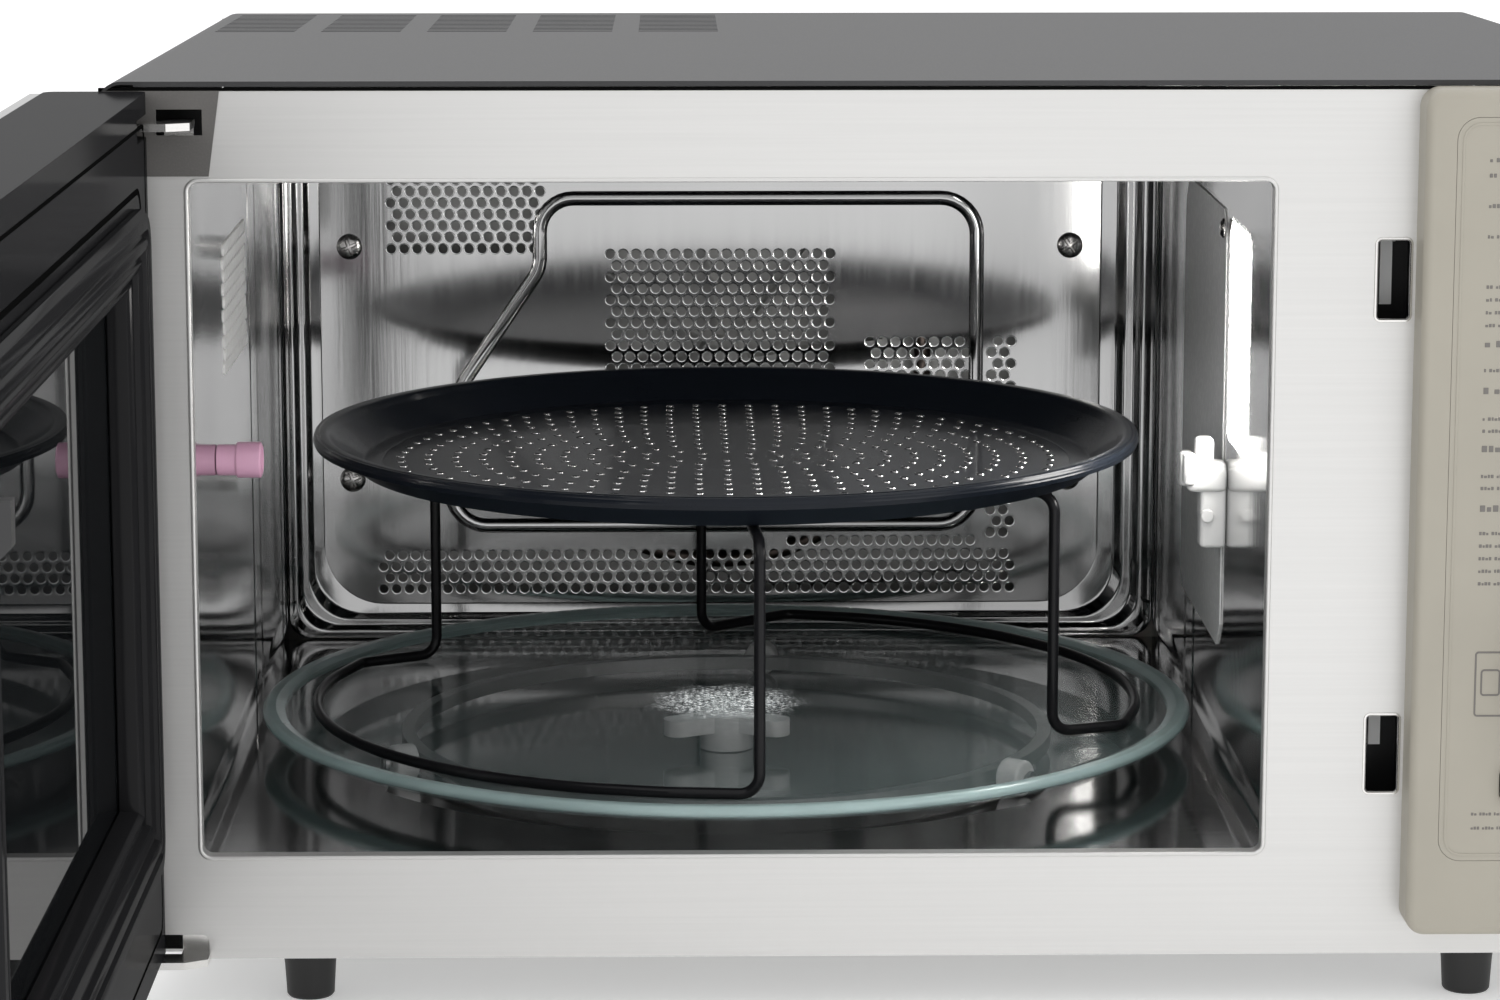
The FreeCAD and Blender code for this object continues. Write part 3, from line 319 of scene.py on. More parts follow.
nodePaints = {
    "cover": ["outer_cover"], "plate": ["front_frame"], "hinge": ["hinge_plate"],
    "bright": ["hinge_arm_upper", "hinge_arm_lower"], "wall": ["cavity_left_wall", "cavity_right_wall"],
    "floor": ["cavity_floor", "cavity_ceiling"], "rear": ["cavity_rear_frame", "fan_cover"],
    "zinc": ["base_plate", "rear_panel", "motor_cover", "air_chamber", "convection_fan", "waveguide"],
    "screw": ["fan_cover_screws"],
    "foot": ["foot_front_left", "foot_front_right", "foot_rear_left", "foot_rear_right"],
    "panel": ["panel_housing", "dial", "start_button", "stop_button"], "film": ["panel_overlay"],
    "display": ["display_window"], "black": ["cord_gland", "interlock_switches", "blower_motor", "blower_fan",
                                             "latch_slide", "latch_housing"],
    "roller": ["turntable_coupler", "roller_1", "roller_2", "roller_3"],
    "motor": ["convection_motor", "turntable_motor", "magnetron", "roller_ring"],
    "white": ["interlock_lever_upper", "interlock_lever_lower", "side_bracket"],
    "pink": ["side_peg"], "board": ["control_board"], "mica": ["waveguide_cover"],
    "door": ["door_frame", "choke_cover"], "doorGlass": ["door_outer_glass"], "innerGlass": ["door_inner_glass"],
    "handle": ["door_handle"], "screen": ["door_screen"], "tray": ["glass_tray"], "rack": ["wire_rack"],
    "pan": ["crisp_pan"], "heater": ["convection_heater"], "core": ["power_supply"], "glow": ["oven_lamp"],
}
for key, names in nodePaints.items():
    for name in names:
        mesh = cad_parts[name].data
        mesh.materials.clear()
        mesh.materials.append(paints[key])
print("materials made")


# tools that turn numbers into surfaces

def addPiece(name, points, faces, body, paint, slotName, stands=(), sharp=32):
    # A mesh from points and faces. Doubles are merged and a closed shell is turned to face outwards.
    mesh = bpy.data.meshes.new(name)
    mesh.from_pydata(np.asarray(points).reshape(-1, 3).tolist(), [], np.asarray(faces).tolist())
    work = bmesh.new()
    work.from_mesh(mesh)
    bmesh.ops.remove_doubles(work, verts=work.verts, dist=2e-6)
    bmesh.ops.dissolve_degenerate(work, edges=work.edges, dist=1e-7)
    bmesh.ops.recalc_face_normals(work, faces=work.faces)
    work.to_mesh(mesh)
    work.free()
    mesh.polygons.foreach_set("use_smooth", np.ones(len(mesh.polygons), bool))
    mesh.set_sharp_from_angle(angle=math.radians(sharp))
    piece = bpy.data.objects.new(name, mesh)
    bpy.context.scene.collection.objects.link(piece)
    mesh.materials.append(paints[paint])
    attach(piece, body)
    if stands:
        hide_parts(*stands)
    return piece


def gridFaces(rows, columns, wrapRows=False):
    # The quads of a grid: each joins (i, j) to (i + 1, j + 1), closed round its columns and, if asked, its rows.
    i = np.arange(rows if wrapRows else rows - 1)[:, None]
    j = np.arange(columns)[None, :]
    a, b = i * columns + j, i * columns + (j + 1) % columns
    c, d = (i + 1) % rows * columns + (j + 1) % columns, (i + 1) % rows * columns + j
    return np.stack([a, b, c, d], -1).reshape(-1, 4)


def joined(parts):
    # Several (points, faces) pairs as one.
    points, faces, start = [], [], 0
    for p, f in parts:
        p = np.asarray(p).reshape(-1, 3)
        points.append(p)
        faces.append(np.asarray(f) + start)
        start += len(p)
    return np.concatenate(points), np.concatenate(faces)


def rounded2d(profile, radius, steps=5, closed=True):
    # A polyline with each corner replaced by an arc of about that radius, tangent to both sides.
    p = np.asarray(profile, float)
    before, after = np.roll(p, 1, 0), np.roll(p, -1, 0)
    toBefore, toAfter = before - p, after - p
    lengthBefore = np.linalg.norm(toBefore, axis=1, keepdims=True)
    lengthAfter = np.linalg.norm(toAfter, axis=1, keepdims=True)
    toBefore, toAfter = toBefore / np.maximum(lengthBefore, 1e-9), toAfter / np.maximum(lengthAfter, 1e-9)
    half = np.arccos(np.clip((toBefore * toAfter).sum(1, keepdims=True), -1, 1)) / 2
    reach = np.minimum(radius / np.maximum(np.tan(half), 1e-6), 0.48 * np.minimum(lengthBefore, lengthAfter))
    t = np.linspace(0, 1, steps)[None, :, None]
    first, last = (p + toBefore * reach)[:, None], (p + toAfter * reach)[:, None]
    weight = np.sin(half)[:, None]
    top = (1 - t) ** 2 * first + 2 * t * (1 - t) * weight * p[:, None] + t ** 2 * last
    arcs = top / ((1 - t) ** 2 + 2 * t * (1 - t) * weight + t ** 2)
    if closed:
        return arcs.reshape(-1, p.shape[1])
    return np.concatenate([p[:1], arcs[1:-1].reshape(-1, p.shape[1]), p[-1:]])


def lathe(profile, centre, axis="z", segments=96, wobble=None):
    # A profile of (radius, height) turned about an axis through centre. wobble changes the radius with the angle.
    r, h = np.asarray(profile, float).T
    angle = np.linspace(0, 2 * np.pi, segments, endpoint=False)
    radius = r[:, None] * (1 + (wobble(angle, h[:, None]) if wobble else 0 * angle[None, :]))
    across, up, along = radius * np.cos(angle), radius * np.sin(angle), np.repeat(h[:, None], segments, 1)
    order = {"z": (across, up, along), "y": (across, along, up), "x": (along, across, up)}[axis]
    return np.stack(order, -1) + np.asarray(centre, float), gridFaces(len(r), segments)


def tube(path, radius, segments=14, closed=False, flat=1.0):
    # A round section carried along a path; its frame is turned as little as possible from point to point.
    p = np.asarray(path, float)
    ahead = (np.roll(p, -1, 0) - np.roll(p, 1, 0)) if closed else np.gradient(p, axis=0)
    ahead /= np.linalg.norm(ahead, axis=1, keepdims=True)
    side = np.zeros_like(p)
    start = np.cross(ahead[0], (0.13, 0.99, 0.05) if closed else (0.3, 0.2, 0.93))
    side[0] = start / np.linalg.norm(start)
    if closed:
        side[:] = np.cross(ahead, (0, 1, 0))
        side /= np.linalg.norm(side, axis=1, keepdims=True)
    else:
        for k in range(1, len(p)):
            turned = side[k - 1] - ahead[k] * np.dot(side[k - 1], ahead[k])
            side[k] = turned / np.linalg.norm(turned)
    other = np.cross(ahead, side)
    angle = np.linspace(0, 2 * np.pi, segments, endpoint=False)
    rings = (p[:, None] + radius * np.cos(angle)[None, :, None] * side[:, None]
             + radius * flat * np.sin(angle)[None, :, None] * other[:, None])
    if closed:
        return rings, gridFaces(len(p), segments, wrapRows=True)
    ends = [np.repeat(p[:1, None], segments, 1), rings, np.repeat(p[-1:, None], segments, 1)]
    return np.concatenate(ends), gridFaces(len(p) + 2, segments)


def loopRect(x0, z0, x1, z1, radius, corner=7):
    # Points round a rectangle with round corners, always the same number, so that loops can be joined.
    radius = max(radius, 0.05)
    turn = np.linspace(0, np.pi / 2, corner)
    centres = ((x1 - radius, z1 - radius, 0), (x0 + radius, z1 - radius, 1), (x0 + radius, z0 + radius, 2),
               (x1 - radius, z0 + radius, 3))
    arcs = [np.stack([x + radius * np.cos(turn + k * np.pi / 2), z + radius * np.sin(turn + k * np.pi / 2)], -1)
            for x, z, k in centres]
    return np.concatenate(arcs)


def ringPiece(rect, radius, profile, closed=True):
    # A profile of (inset, depth) carried round a rectangle with round corners: points (x, depth, z).
    x0, z0, x1, z1 = rect
    loops = []
    for inset, depth in profile:
        loop = loopRect(x0 + inset, z0 + inset, x1 - inset, z1 - inset, radius - inset)
        loops.append(np.stack([loop[:, 0], np.full(len(loop), depth), loop[:, 1]], -1))
    return np.stack(loops), gridFaces(len(profile), len(loops[0]), wrapRows=closed)


def softBox(low, high, radius, steps=4, axis="z"):
    # A box with every edge rounded: rounded rectangles stacked along an axis, drawn in at both ends.
    low, high = np.asarray(low, float), np.asarray(high, float)
    order = {"z": (0, 1, 2), "y": (0, 2, 1), "x": (1, 2, 0)}[axis]
    a, b, c = order
    radius = min(radius, (high - low).min() * 0.48)
    turn = np.linspace(0, np.pi / 2, steps)
    inset = np.concatenate([[radius * 4], radius * (1 - np.sin(turn)), radius * (1 - np.cos(turn)), [radius * 4]])
    level = np.concatenate([[low[c]], low[c] + radius * (1 - np.cos(turn)),
                            high[c] - radius * (1 - np.sin(turn)), [high[c]]])
    limit = min(high[a] - low[a], high[b] - low[b]) * 0.499
    loops = []
    for k, (i, l) in enumerate(zip(inset, level)):
        i = min(i, limit) if 0 < k < len(inset) - 1 else 0
        loop = loopRect(low[a] + i, low[b] + i, high[a] - i, high[b] - i, radius, corner=5)
        points = np.zeros((len(loop), 3))
        points[:, a], points[:, b], points[:, c] = loop[:, 0], loop[:, 1], l
        if k in (0, len(inset) - 1):
            points[:, a], points[:, b] = (low[a] + high[a]) / 2, (low[b] + high[b]) / 2
        loops.append(points)
    return np.stack(loops), gridFaces(len(loops), len(loops[0]))


def holeRims(centres, inner, outer, proud, axis="y"):
    # One low-sided ring at each centre: a flat crown with a small outer slope, all computed as one array.
    centres = np.asarray(centres, float)
    angle = np.linspace(0, 2 * np.pi, 12, endpoint=False)
    profile = np.array([(inner, 0.3), (inner, -proud), ((inner + outer) / 2, -proud * 1.3), (outer, 0.3)])
    r, h = profile[:, 0, None], profile[:, 1, None] * np.ones(12)
    a, b = r * np.cos(angle), r * np.sin(angle)
    ring = np.stack({"y": (a, h, b), "z": (a, b, -h), "x": (h, a, b)}[axis], -1).reshape(1, -1, 3)
    points = (centres[:, None] + ring).reshape(-1, 3)
    faces = gridFaces(4, 12, wrapRows=True)
    return points, (faces[None] + 48 * np.arange(len(centres))[:, None, None]).reshape(-1, 4)


def staggered(field, pitch=5.27, row=4.68):
    # Centres of a staggered hole field (x0, z0, x1, z1).
    x0, z0, x1, z1 = field
    spots = []
    for j in range(round((z1 - z0) / row) + 1):
        shift = pitch / 2 * (j % 2)
        x = x0 + shift + pitch * np.arange(round((x1 - x0 - shift) / pitch) + 1)
        spots.append(np.stack([x, np.full(len(x), z0 + j * row)], -1))
    return np.concatenate(spots)


def placed(part, move):
    # The same faces on points moved into the frame by the given rule.
    points, faces = part
    return move(points), faces


# cavity

rearSettings = {"rect": (-231.6, 55.4, 123.6, 281.6), "radius": 9, "front": 350.8, "back": 356.9, "inset": 14.2}
rearProfile = rounded2d([
    (-0.2, rearSettings["front"] + 0.3), (1.5, rearSettings["front"]), (4.2, rearSettings["front"] - 1.2),
    (6.4, rearSettings["front"] + 2.6), (9.2, rearSettings["front"] + 2.2), (11.6, rearSettings["back"] - 0.8),
    (rearSettings["inset"] + 2.4, rearSettings["back"]), (rearSettings["inset"] + 2.4, rearSettings["back"] + 1),
    (9, rearSettings["back"] + 1), (-0.2, rearSettings["back"] + 1)], 1.4)


def rearFrame():
    # The stepped frame round the fan cover: from the cavity's square corner to the cover's round one.
    loops = []
    s = rearSettings
    x0, z0, x1, z1 = s["rect"]
    for inset, depth in rearProfile:
        share = np.clip(inset / 16.6, 0, 1)
        left, low = inset * (14.6 / 16.6), inset * (13.6 / 16.6)
        right, top = inset * (22.6 / 16.6), inset * (4.6 / 16.6)
        loop = loopRect(x0 + left, z0 + low, x1 - right, z1 - top, s["radius"] + share * 16, corner=11)
        loops.append(np.stack([loop[:, 0], np.full(len(loop), depth), loop[:, 1]], -1))
    return np.stack(loops), gridFaces(len(loops), len(loops[0]), wrapRows=True)


addPiece("rear_frame_pressing", *placed(rearFrame(), inOven), "oven_body", "rear", "cavity_steel",
         ["cavity_rear_frame"], sharp=50)

bead = {"corners": [(-127.6, 236.5), (50.5, 236.5), (50.5, 101.4), (-165, 101.4), (-165, 150), (-158, 163),
                    (-127.6, 208)], "bend": 15, "radius": 3.0, "proud": 0.55, "plane": 357.1}
loop = rounded2d(bead["corners"], bead["bend"], steps=9)
beadPath = np.stack([loop[:, 0], np.full(len(loop), bead["plane"]), loop[:, 1]], -1)
addPiece("fan_cover_bead", *placed(tube(beadPath, bead["radius"], 16, closed=True, flat=bead["proud"]), inOven),
         "oven_body", "rear", "cavity_steel")

screw = {"spots": [(-205, 217), (88.5, 217), (-205, 121), (88.5, 121)], "radius": 5.2, "height": 2.8,
         "slot": 0.62, "reach": 3.1, "depth": 1.3, "plane": 357.0}


def screwHead(x, z):
    # A domed head on a polar grid; two crossed grooves are pressed into it.
    r = np.concatenate([np.linspace(0, screw["radius"], 26), [screw["radius"]]])[:, None]
    angle = np.linspace(0, 2 * np.pi, 72, endpoint=False)[None, :]
    a, b = r * np.cos(angle + 0.4 + x), r * np.sin(angle + 0.4 + x)
    dome = screw["height"] * np.sqrt(np.clip(1 - (r / (screw["radius"] * 1.04)) ** 2, 0, 1)) * np.ones_like(a)
    groove = lambda across, far: (np.clip((screw["slot"] - abs(across)) / 0.3 + 0.5, 0, 1)
                                  * (abs(far) < screw["reach"]))
    dome -= np.maximum(groove(a, b), groove(b, a)) * screw["depth"]
    dome[-1] = 0
    points = np.stack([x + r * np.cos(angle), screw["plane"] - dome, z + r * np.sin(angle)], -1)
    return points, gridFaces(points.shape[0], points.shape[1])


addPiece("screw_heads", *placed(joined([screwHead(x, z) for x, z in screw["spots"]]), inOven), "oven_body",
         "screw", "cavity_steel", ["fan_cover_screws"], sharp=28)
rearFields = [(-188, 216, -130, 258), (-99, 120, -10, 213), (7, 112, 44, 177), (57, 98, 63, 177),
              (-193, 75, 63, 90), (-25, 94.7, 50, 95)]
spots = np.concatenate([staggered(field) for field in rearFields])
# the hole rims carry painted highlights in bright steel
rims = holeRims(np.insert(spots, 1, 357.0, axis=1), 1.95, 2.55, 0.22)
addPiece("fan_cover_hole_edges", *placed(rims, inOven), "oven_body", "edge", "cavity_steel")
print("cavity rear made")


# tray, rack and pan

traySettings = {"radius": 172.4, "under": 63.6, "top": 70.0, "floor": 67.4, "rim": 11.0}


def trayProfile():
    # Half of the tray cut through its axis: flat floor, raised rim, every corner eased by 2.2 mm.
    s = traySettings
    corners = [(0, s["under"]), (s["radius"] - 9, s["under"]), (s["radius"] - 1.2, s["under"] + 1.6),
               (s["radius"], s["under"] + 4.4), (s["radius"] - 2.0, s["top"]), (s["radius"] - 5, s["top"] - 0.4),
               (s["radius"] - s["rim"] - 2, s["floor"]), (0, s["floor"])]
    return rounded2d(corners, 2.2, closed=False)


trayCentre = (trayX, trayY, 0)


def onTray(points):
    # Millimetres about the turntable's axis to metres in the row frame.
    return np.asarray(points, float) / 1000 + trayCentre


addPiece("glass_tray_moulding", *placed(lathe(trayProfile(), (0, 0, 0), segments=160), onTray), "tray", "tray",
         "tray_glass", ["glass_tray"], sharp=60)

star = {"inner": 26, "reach": 8, "points": 9, "low": 67.0, "high": 67.75}


def starBoss():
    # A low boss under the plate's middle: its radius is inner plus reach times the cube of a cosine of six turns.
    s = star
    share = np.array([0, 1, 0.96, 0.6, 0.3, 0])[:, None]
    level = np.array([s["low"], s["low"], s["high"], s["high"], s["high"], s["high"]])[:, None]
    angle = np.linspace(0, 2 * np.pi, 216, endpoint=False)[None, :]
    radius = share * (s["inner"] + s["reach"] * abs(np.cos(s["points"] * angle / 2)) ** 3)
    points = np.stack([radius * np.cos(angle), radius * np.sin(angle), level + 0 * angle], -1)
    return points, gridFaces(6, 216)


addPiece("tray_star", *placed(starBoss(), onTray), "tray", "frost", "tray_glass")
edge = traySettings["radius"]
rimCorners = [(edge - 8.6, 66.2), (edge - 4, 65.2), (edge - 0.5, 66.6), (edge + 0.08, 68.2), (edge - 1.6, 70.05),
              (edge - 5, 69.9), (edge - 9, 68.6)]
rimRings = lathe(rounded2d(rimCorners, 1.6), (0, 0, 0), segments=160)[0]
addPiece("tray_rim_edge", onTray(rimRings), gridFaces(len(rimRings), 160, wrapRows=True), "tray", "rimGlass",
         "tray_glass", sharp=60)

rack = {"wire": 2.0, "bend": 7, "ring": 152, "base": 69.9, "top": 157, "upper": 100}
hoops = {"left": (135, 146, 157, 262, 154, 273.5), "right": (132, -28, -20, 80, 121, 94)}


def polar(radius, angle, height):
    # A point at radius times the cosine and sine of the angle in degrees, at that height.
    a = np.radians(angle)
    return np.stack([radius * np.cos(a), radius * np.sin(a), height + 0 * a], -1)


def hoopPath(footIn, footTurn, start, end, endIn, endTurn):
    # Down a leg, out to the base ring, round it as an arc, back in and up the other leg.
    first = [polar(rack["upper"], footTurn, rack["top"]), polar(footIn, footTurn, rack["top"]),
             polar(footIn, footTurn, rack["base"]), polar(rack["ring"], start, rack["base"]),
             polar(rack["ring"], start + 9, rack["base"])]
    last = [polar(rack["ring"], end - 9, rack["base"]), polar(rack["ring"], end, rack["base"]),
            polar(endIn, endTurn, rack["base"]), polar(endIn, endTurn, rack["top"]),
            polar(rack["upper"], endTurn, rack["top"])]
    down = rounded2d(np.array(first), rack["bend"], steps=8, closed=False)[:-1]
    up = rounded2d(np.array(last), rack["bend"], steps=8, closed=False)[1:]
    arc = polar(rack["ring"], np.linspace(start + 10, end - 10, 60), rack["base"])
    return np.concatenate([down, arc, up])


torusAngle = np.linspace(0, 2 * np.pi, 14, endpoint=False)
topRing = lathe(np.stack([rack["upper"] + 2.2 * np.cos(torusAngle), rack["top"] + 2.2 * np.sin(torusAngle)], -1),
                (0, 0, 0), segments=96)
topRing = (topRing[0], gridFaces(14, 96, wrapRows=True))
rackParts = [tube(hoopPath(*h), rack["wire"]) for h in hoops.values()] + [topRing]
addPiece("rack_wires", *placed(joined(rackParts), onTray), "rack", "rack", "rack_steel", ["wire_rack"])

panSettings = {"under": 159.4, "rimTop": 171.4, "floor": 126.4, "bend": 135.5, "lip": 151.9}


def panProfile():
    # The pan outside its pierced floor: floor edge, curved wall, flat lip and the rolled edge, as a closed wall.
    s = panSettings
    z = s["under"] - 0.08
    corners = [(s["floor"], z), (s["bend"], z), (s["bend"] + 10.5, z + 8.2), (s["lip"] - 1.6, z + 8.4),
               (s["lip"], z + 9.6), (s["lip"] - 0.2, z + 11.6), (s["lip"] - 2.2, s["rimTop"] + 0.3),
               (s["bend"] + 11.2, s["rimTop"] + 0.2), (s["bend"] + 8.6, z + 9.6), (s["bend"] - 1.6, z + 1.2),
               (s["floor"], z + 1.2)]
    return rounded2d(corners, 2.6, steps=6)


panPoints, panFaces = lathe(panProfile(), (0, 0, 0), segments=160)
addPiece("pan_rim", onTray(panPoints), gridFaces(len(panPoints), 160, wrapRows=True), "pan", "pan", "pan_enamel",
         sharp=60)
panHoles = np.concatenate([polar(10 * k, 360 / round(5.984 * k) * (np.arange(round(5.984 * k)) + k % 2 / 2), 160.4)
                           for k in range(1, 13)])
# the pan's hole rims carry painted highlights in bright steel on the black coat
addPiece("pan_hole_edges", *placed(holeRims(panHoles, 1.3, 1.85, 0.22, axis="z"), onTray), "pan", "edge",
         "pan_enamel")
print("tray, rack and pan made")


# small fittings in the cavity

peg = {"half": [(0, 0), (5.4, 0), (5.4, 6.6), (6.25, 7.2), (6.25, 15.2), (4.6, 16), (4.2, 14), (0, 14)],
       "ease": 0.5, "root": (-231.9, 81, 176)}
pegPoints = lathe(rounded2d(peg["half"], peg["ease"], closed=False), peg["root"], axis="x", segments=48)
addPiece("side_peg_cap", *placed(pegPoints, inOven), "oven_body", "pink", "peg_pink", ["side_peg"])

bracket = {
    "stem": ((114.6, 115, 137), (123.9, 125, 168), 1.6), "shelf": ((109.5, 113, 157.5), (123.9, 127, 167), 2.2),
    "frontHorn": ((107.9, 111.4, 160), (112.5, 117.4, 172), 1.8),
    "rearHorn": ((107.9, 122.0, 158), (113, 128.0, 171), 1.8),
    "head": ((112.5, 116.5, 166), (119.5, 123.5, 177), 2.2)}
bracketPin = {"half": [(0, -7), (2.4, -7), (2.4, 7), (0, 7)], "ease": 0.6, "middle": (117, 120, 149)}
bracketParts = [softBox(*block) for block in bracket.values()]
bracketParts.append(lathe(rounded2d(bracketPin["half"], bracketPin["ease"], closed=False), bracketPin["middle"],
                          axis="y", segments=24))
addPiece("bracket_moulding", *placed(joined(bracketParts), inOven), "oven_body", "white", "ceramic_white",
         ["side_bracket"])

ovenLamp = {"lens": ((126.2, 63, 177), (141, 117, 256), 3), "bulb": ((141.5, 78, 190), (152, 102, 231), 4)}
addPiece("lamp_diffuser", *placed(joined([softBox(*block) for block in ovenLamp.values()]), inOven), "oven_body", "glow",
         "lamp_glass", ["oven_lamp"])

sideVent = {"field": (114, 203, 191, 246), "wall": 232.0, "hole": 1.95, "edge": 2.5, "proud": 0.35}
rimPoints, rimFaces = holeRims(np.insert(staggered(sideVent["field"]), 0, sideVent["wall"], axis=1),
                               sideVent["hole"], sideVent["edge"], sideVent["proud"], axis="x")
# painted highlight: the left wall's vent hole rims get white plastic paint on the steel so that they read as lit
addPiece("side_vent_edge_highlights", inOven(rimPoints * (-1, 1, 1)), rimFaces, "oven_body", "white", "cavity_steel")

mica = {"spots": [(129, 250.5), (131, 152)], "radius": 3.6, "plane": 123.0, "proud": 1.6}
micaHalf = rounded2d([(0, 0), (mica["radius"], 0), (mica["radius"], -0.5), (mica["radius"] * 0.6, -mica["proud"]),
                      (0, -mica["proud"])], 0.4, closed=False)
micaScrews = [lathe(micaHalf, (mica["plane"], y, z), axis="x", segments=32) for y, z in mica["spots"]]
addPiece("mica_screws", *placed(joined(micaScrews), inOven), "oven_body", "screw", "cavity_steel")

lampWindow = {"low": (64, 177), "high": (115, 254), "pitch": 5.1, "bite": 1.5, "front": 123.55, "back": 123.9}


def scallopedWindow():
    # A rectangle's outline moved inwards by bite times the sine of its own length over the pitch, as a closed slab.
    s = lampWindow
    loop = loopRect(*s["low"], *s["high"], 3, corner=4)
    ends = np.roll(loop, -1, 0)
    t = np.linspace(0, 1, 60, endpoint=False)[None, :, None]
    edge = (loop[:, None] * (1 - t) + ends[:, None] * t).reshape(-1, 2)
    steps = np.linalg.norm(np.roll(edge, -1, 0) - edge, axis=1)
    length = np.cumsum(steps) - steps
    inwards = np.array([np.add(s["low"], s["high"]) / 2]) - edge
    inwards /= np.linalg.norm(inwards, axis=1, keepdims=True)
    edge = edge + inwards * (s["bite"] * abs(np.sin(np.pi * length / s["pitch"])))[:, None]
    centre = np.repeat([np.add(s["low"], s["high"]) / 2], len(edge), 0)
    loops = [np.insert(part, 0, x, axis=1) for part, x in
             ((centre, s["front"]), (edge, s["front"]), (edge, s["back"]), (centre, s["back"]))]
    return np.stack(loops), gridFaces(4, len(edge))


# painted light: a glowing slab over the lamp's perforated window stands for the lamp light seen through its holes
addPiece("lamp_window", *placed(scallopedWindow(), inOven), "oven_body", "glow", "lamp_glass")

footHalf = [(0, 0), (7.4, 0), (8.1, 0.9), (8.7, 11), (9.45, 18.6), (9.45, 19.8), (0, 19.8)]
for side in ("left", "right"):
    for end in ("front", "rear"):
        low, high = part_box(f"foot_{end}_{side}")
        centre = ((low.x + high.x) / 2, (low.y + high.y) / 2, 0)
        profile = rounded2d(footHalf, 0.7, closed=False) / 1000
        addPiece(f"{end}_{side}_foot", *lathe(profile, centre, segments=64), "oven_body", "foot", "foot_plastic",
                 [f"foot_{end}_{side}"])
print("small fittings made")


# door

innerCover = {
    "rect": (28, 59, 376, 277.5), "radius": 13, "ease": 0.45,
    "steps": [(0, 0.2), (0.1, 2.4), (2.2, 4.0), (6.5, 4.0), (7.4, 2.6), (9.0, 2.6), (9.8, 3.9), (13.0, 3.6),
              (14.0, 1.8), (15.6, 1.8), (16.4, 2.8), (19.5, 1.6), (20.6, -0.6), (22.2, -0.8), (23.0, 0.2),
              (25.4, -1.6), (26.2, -8.0), (21.5, -8.0), (12, -0.2)]}
ridges = ringPiece(innerCover["rect"], innerCover["radius"],
                   rounded2d(innerCover["steps"], innerCover["ease"], steps=4))
addPiece("inner_cover_ridges", *placed(ridges, onDoor), "door", "door", "choke_plastic", ["choke_cover"], sharp=40)

seams = {"outer": {"rect": (9.2, 33.2, 415.3, 301.8), "radius": 6, "wide": 1.3, "proud": 0.12},
         "inner": {"rect": (22.5, 53.5, 381.5, 283), "radius": 10, "wide": 2.0, "proud": 0.14}}
seamRings = [ringPiece(s["rect"], s["radius"], rounded2d([(0, -0.3), (0, s["proud"]), (s["wide"], s["proud"]),
                                                          (s["wide"], -0.3)], 0.1, 3)) for s in seams.values()]
addPiece("door_seams", *placed(joined(seamRings), onDoor), "door", "groove", "door_plastic")

handle = {"bar": ((388, -72, 66), (402, -58.4, 268), 5.5), "postEase": 2.5,
          "posts": [((390.5, -62, 74), (399.5, -38.3, 95)), ((390.5, -62, 239), (399.5, -38.3, 260))]}
handleParts = [softBox(*handle["bar"])] + [softBox(*post, handle["postEase"], axis="y") for post in handle["posts"]]
addPiece("handle_bar", *placed(joined(handleParts), onDoor), "door", "handle", "handle_metal", ["door_handle"])
print("door made")


# control panel

dialLow, dialHigh = (np.array(v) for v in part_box("dial"))
dial = {"centre": (*((dialLow + dialHigh)[[0]] / 2 * 1000 - middleX * 1000), -15.5,
                   (dialLow + dialHigh)[2] / 2 * 1000),
        "height": 17, "ribs": 32, "ribDepth": 0.014, "ease": 0.8, "pointer": (0.9, -32.3, -31.3, 8.6, 14.6, 0.45)}
dial["half"] = [(0, -dial["height"] + 1.4), (12, -dial["height"] + 1.4), (13.6, -dial["height"]),
                (16.2, -dial["height"]), (17.4, -dial["height"] + 3), (17.6, -2.4), (17.7, 0), (3, 0), (2.9, 8.9),
                (0, 8.9)]
knurl = lambda angle, h: (dial["ribDepth"] * np.cos(dial["ribs"] * angle)
                          * ((h < -2.0) & (h > -dial["height"] + 2.2)))
dialPoints = lathe(rounded2d(dial["half"], dial["ease"], steps=6, closed=False), dial["centre"], axis="y",
                   segments=192, wobble=knurl)
addPiece("dial_knob", *placed(dialPoints, inOven), "jog_dial", "panel", "panel_plastic", ["dial"])
dialX, dialZ = float(dial["centre"][0]), float(dial["centre"][2])
half, front, back, near, far, ease = dial["pointer"]
pointer = softBox((dialX - half, front, dialZ + near), (dialX + half, back, dialZ + far), ease)
addPiece("dial_pointer", *placed(pointer, inOven), "jog_dial", "mark", "panel_plastic")

outline = {"rect": (181.6, 57.6, 248.4, 301.4), "radius": 6,
           "section": [(0, -15.2), (0.1, -14.9), (0.8, -14.9), (0.9, -15.2)]}
outlineRing = ringPiece(outline["rect"], outline["radius"], rounded2d(outline["section"], 0.1, 3))
addPiece("panel_outline", *placed(outlineRing, inOven), "oven_body", "panel", "overlay_film")

marks = {"left": 190.6, "face": -15.03, "frames": ((190.4, 105, 10.6, 22), (192.4, 112, 6.6, 9))}
markRows = [(288.6, 7, 1.3), (283.6, 7, 1.3), (273.7, 7, 1.3), (263.8, 6, 1.1), (247.4, 30, 1.1), (243.2, 24, 1.1),
            (239.0, 34, 1.1), (234.8, 20, 1.1), (228.2, 40, 2.1), (220, 30, 1.1), (212.8, 42, 2.1), (204, 24, 1.1),
            (200, 33, 1.1), (193.6, 38, 2.1), (185, 31, 1.1), (181, 22, 1.1), (173.8, 43, 2.1), (166, 30, 1.1),
            (161.8, 35, 1.1), (157.6, 20, 1.1), (153.4, 28, 1.1), (149.2, 31, 1.1), (71.4, 30, 1.0), (66.6, 26, 1.0)]


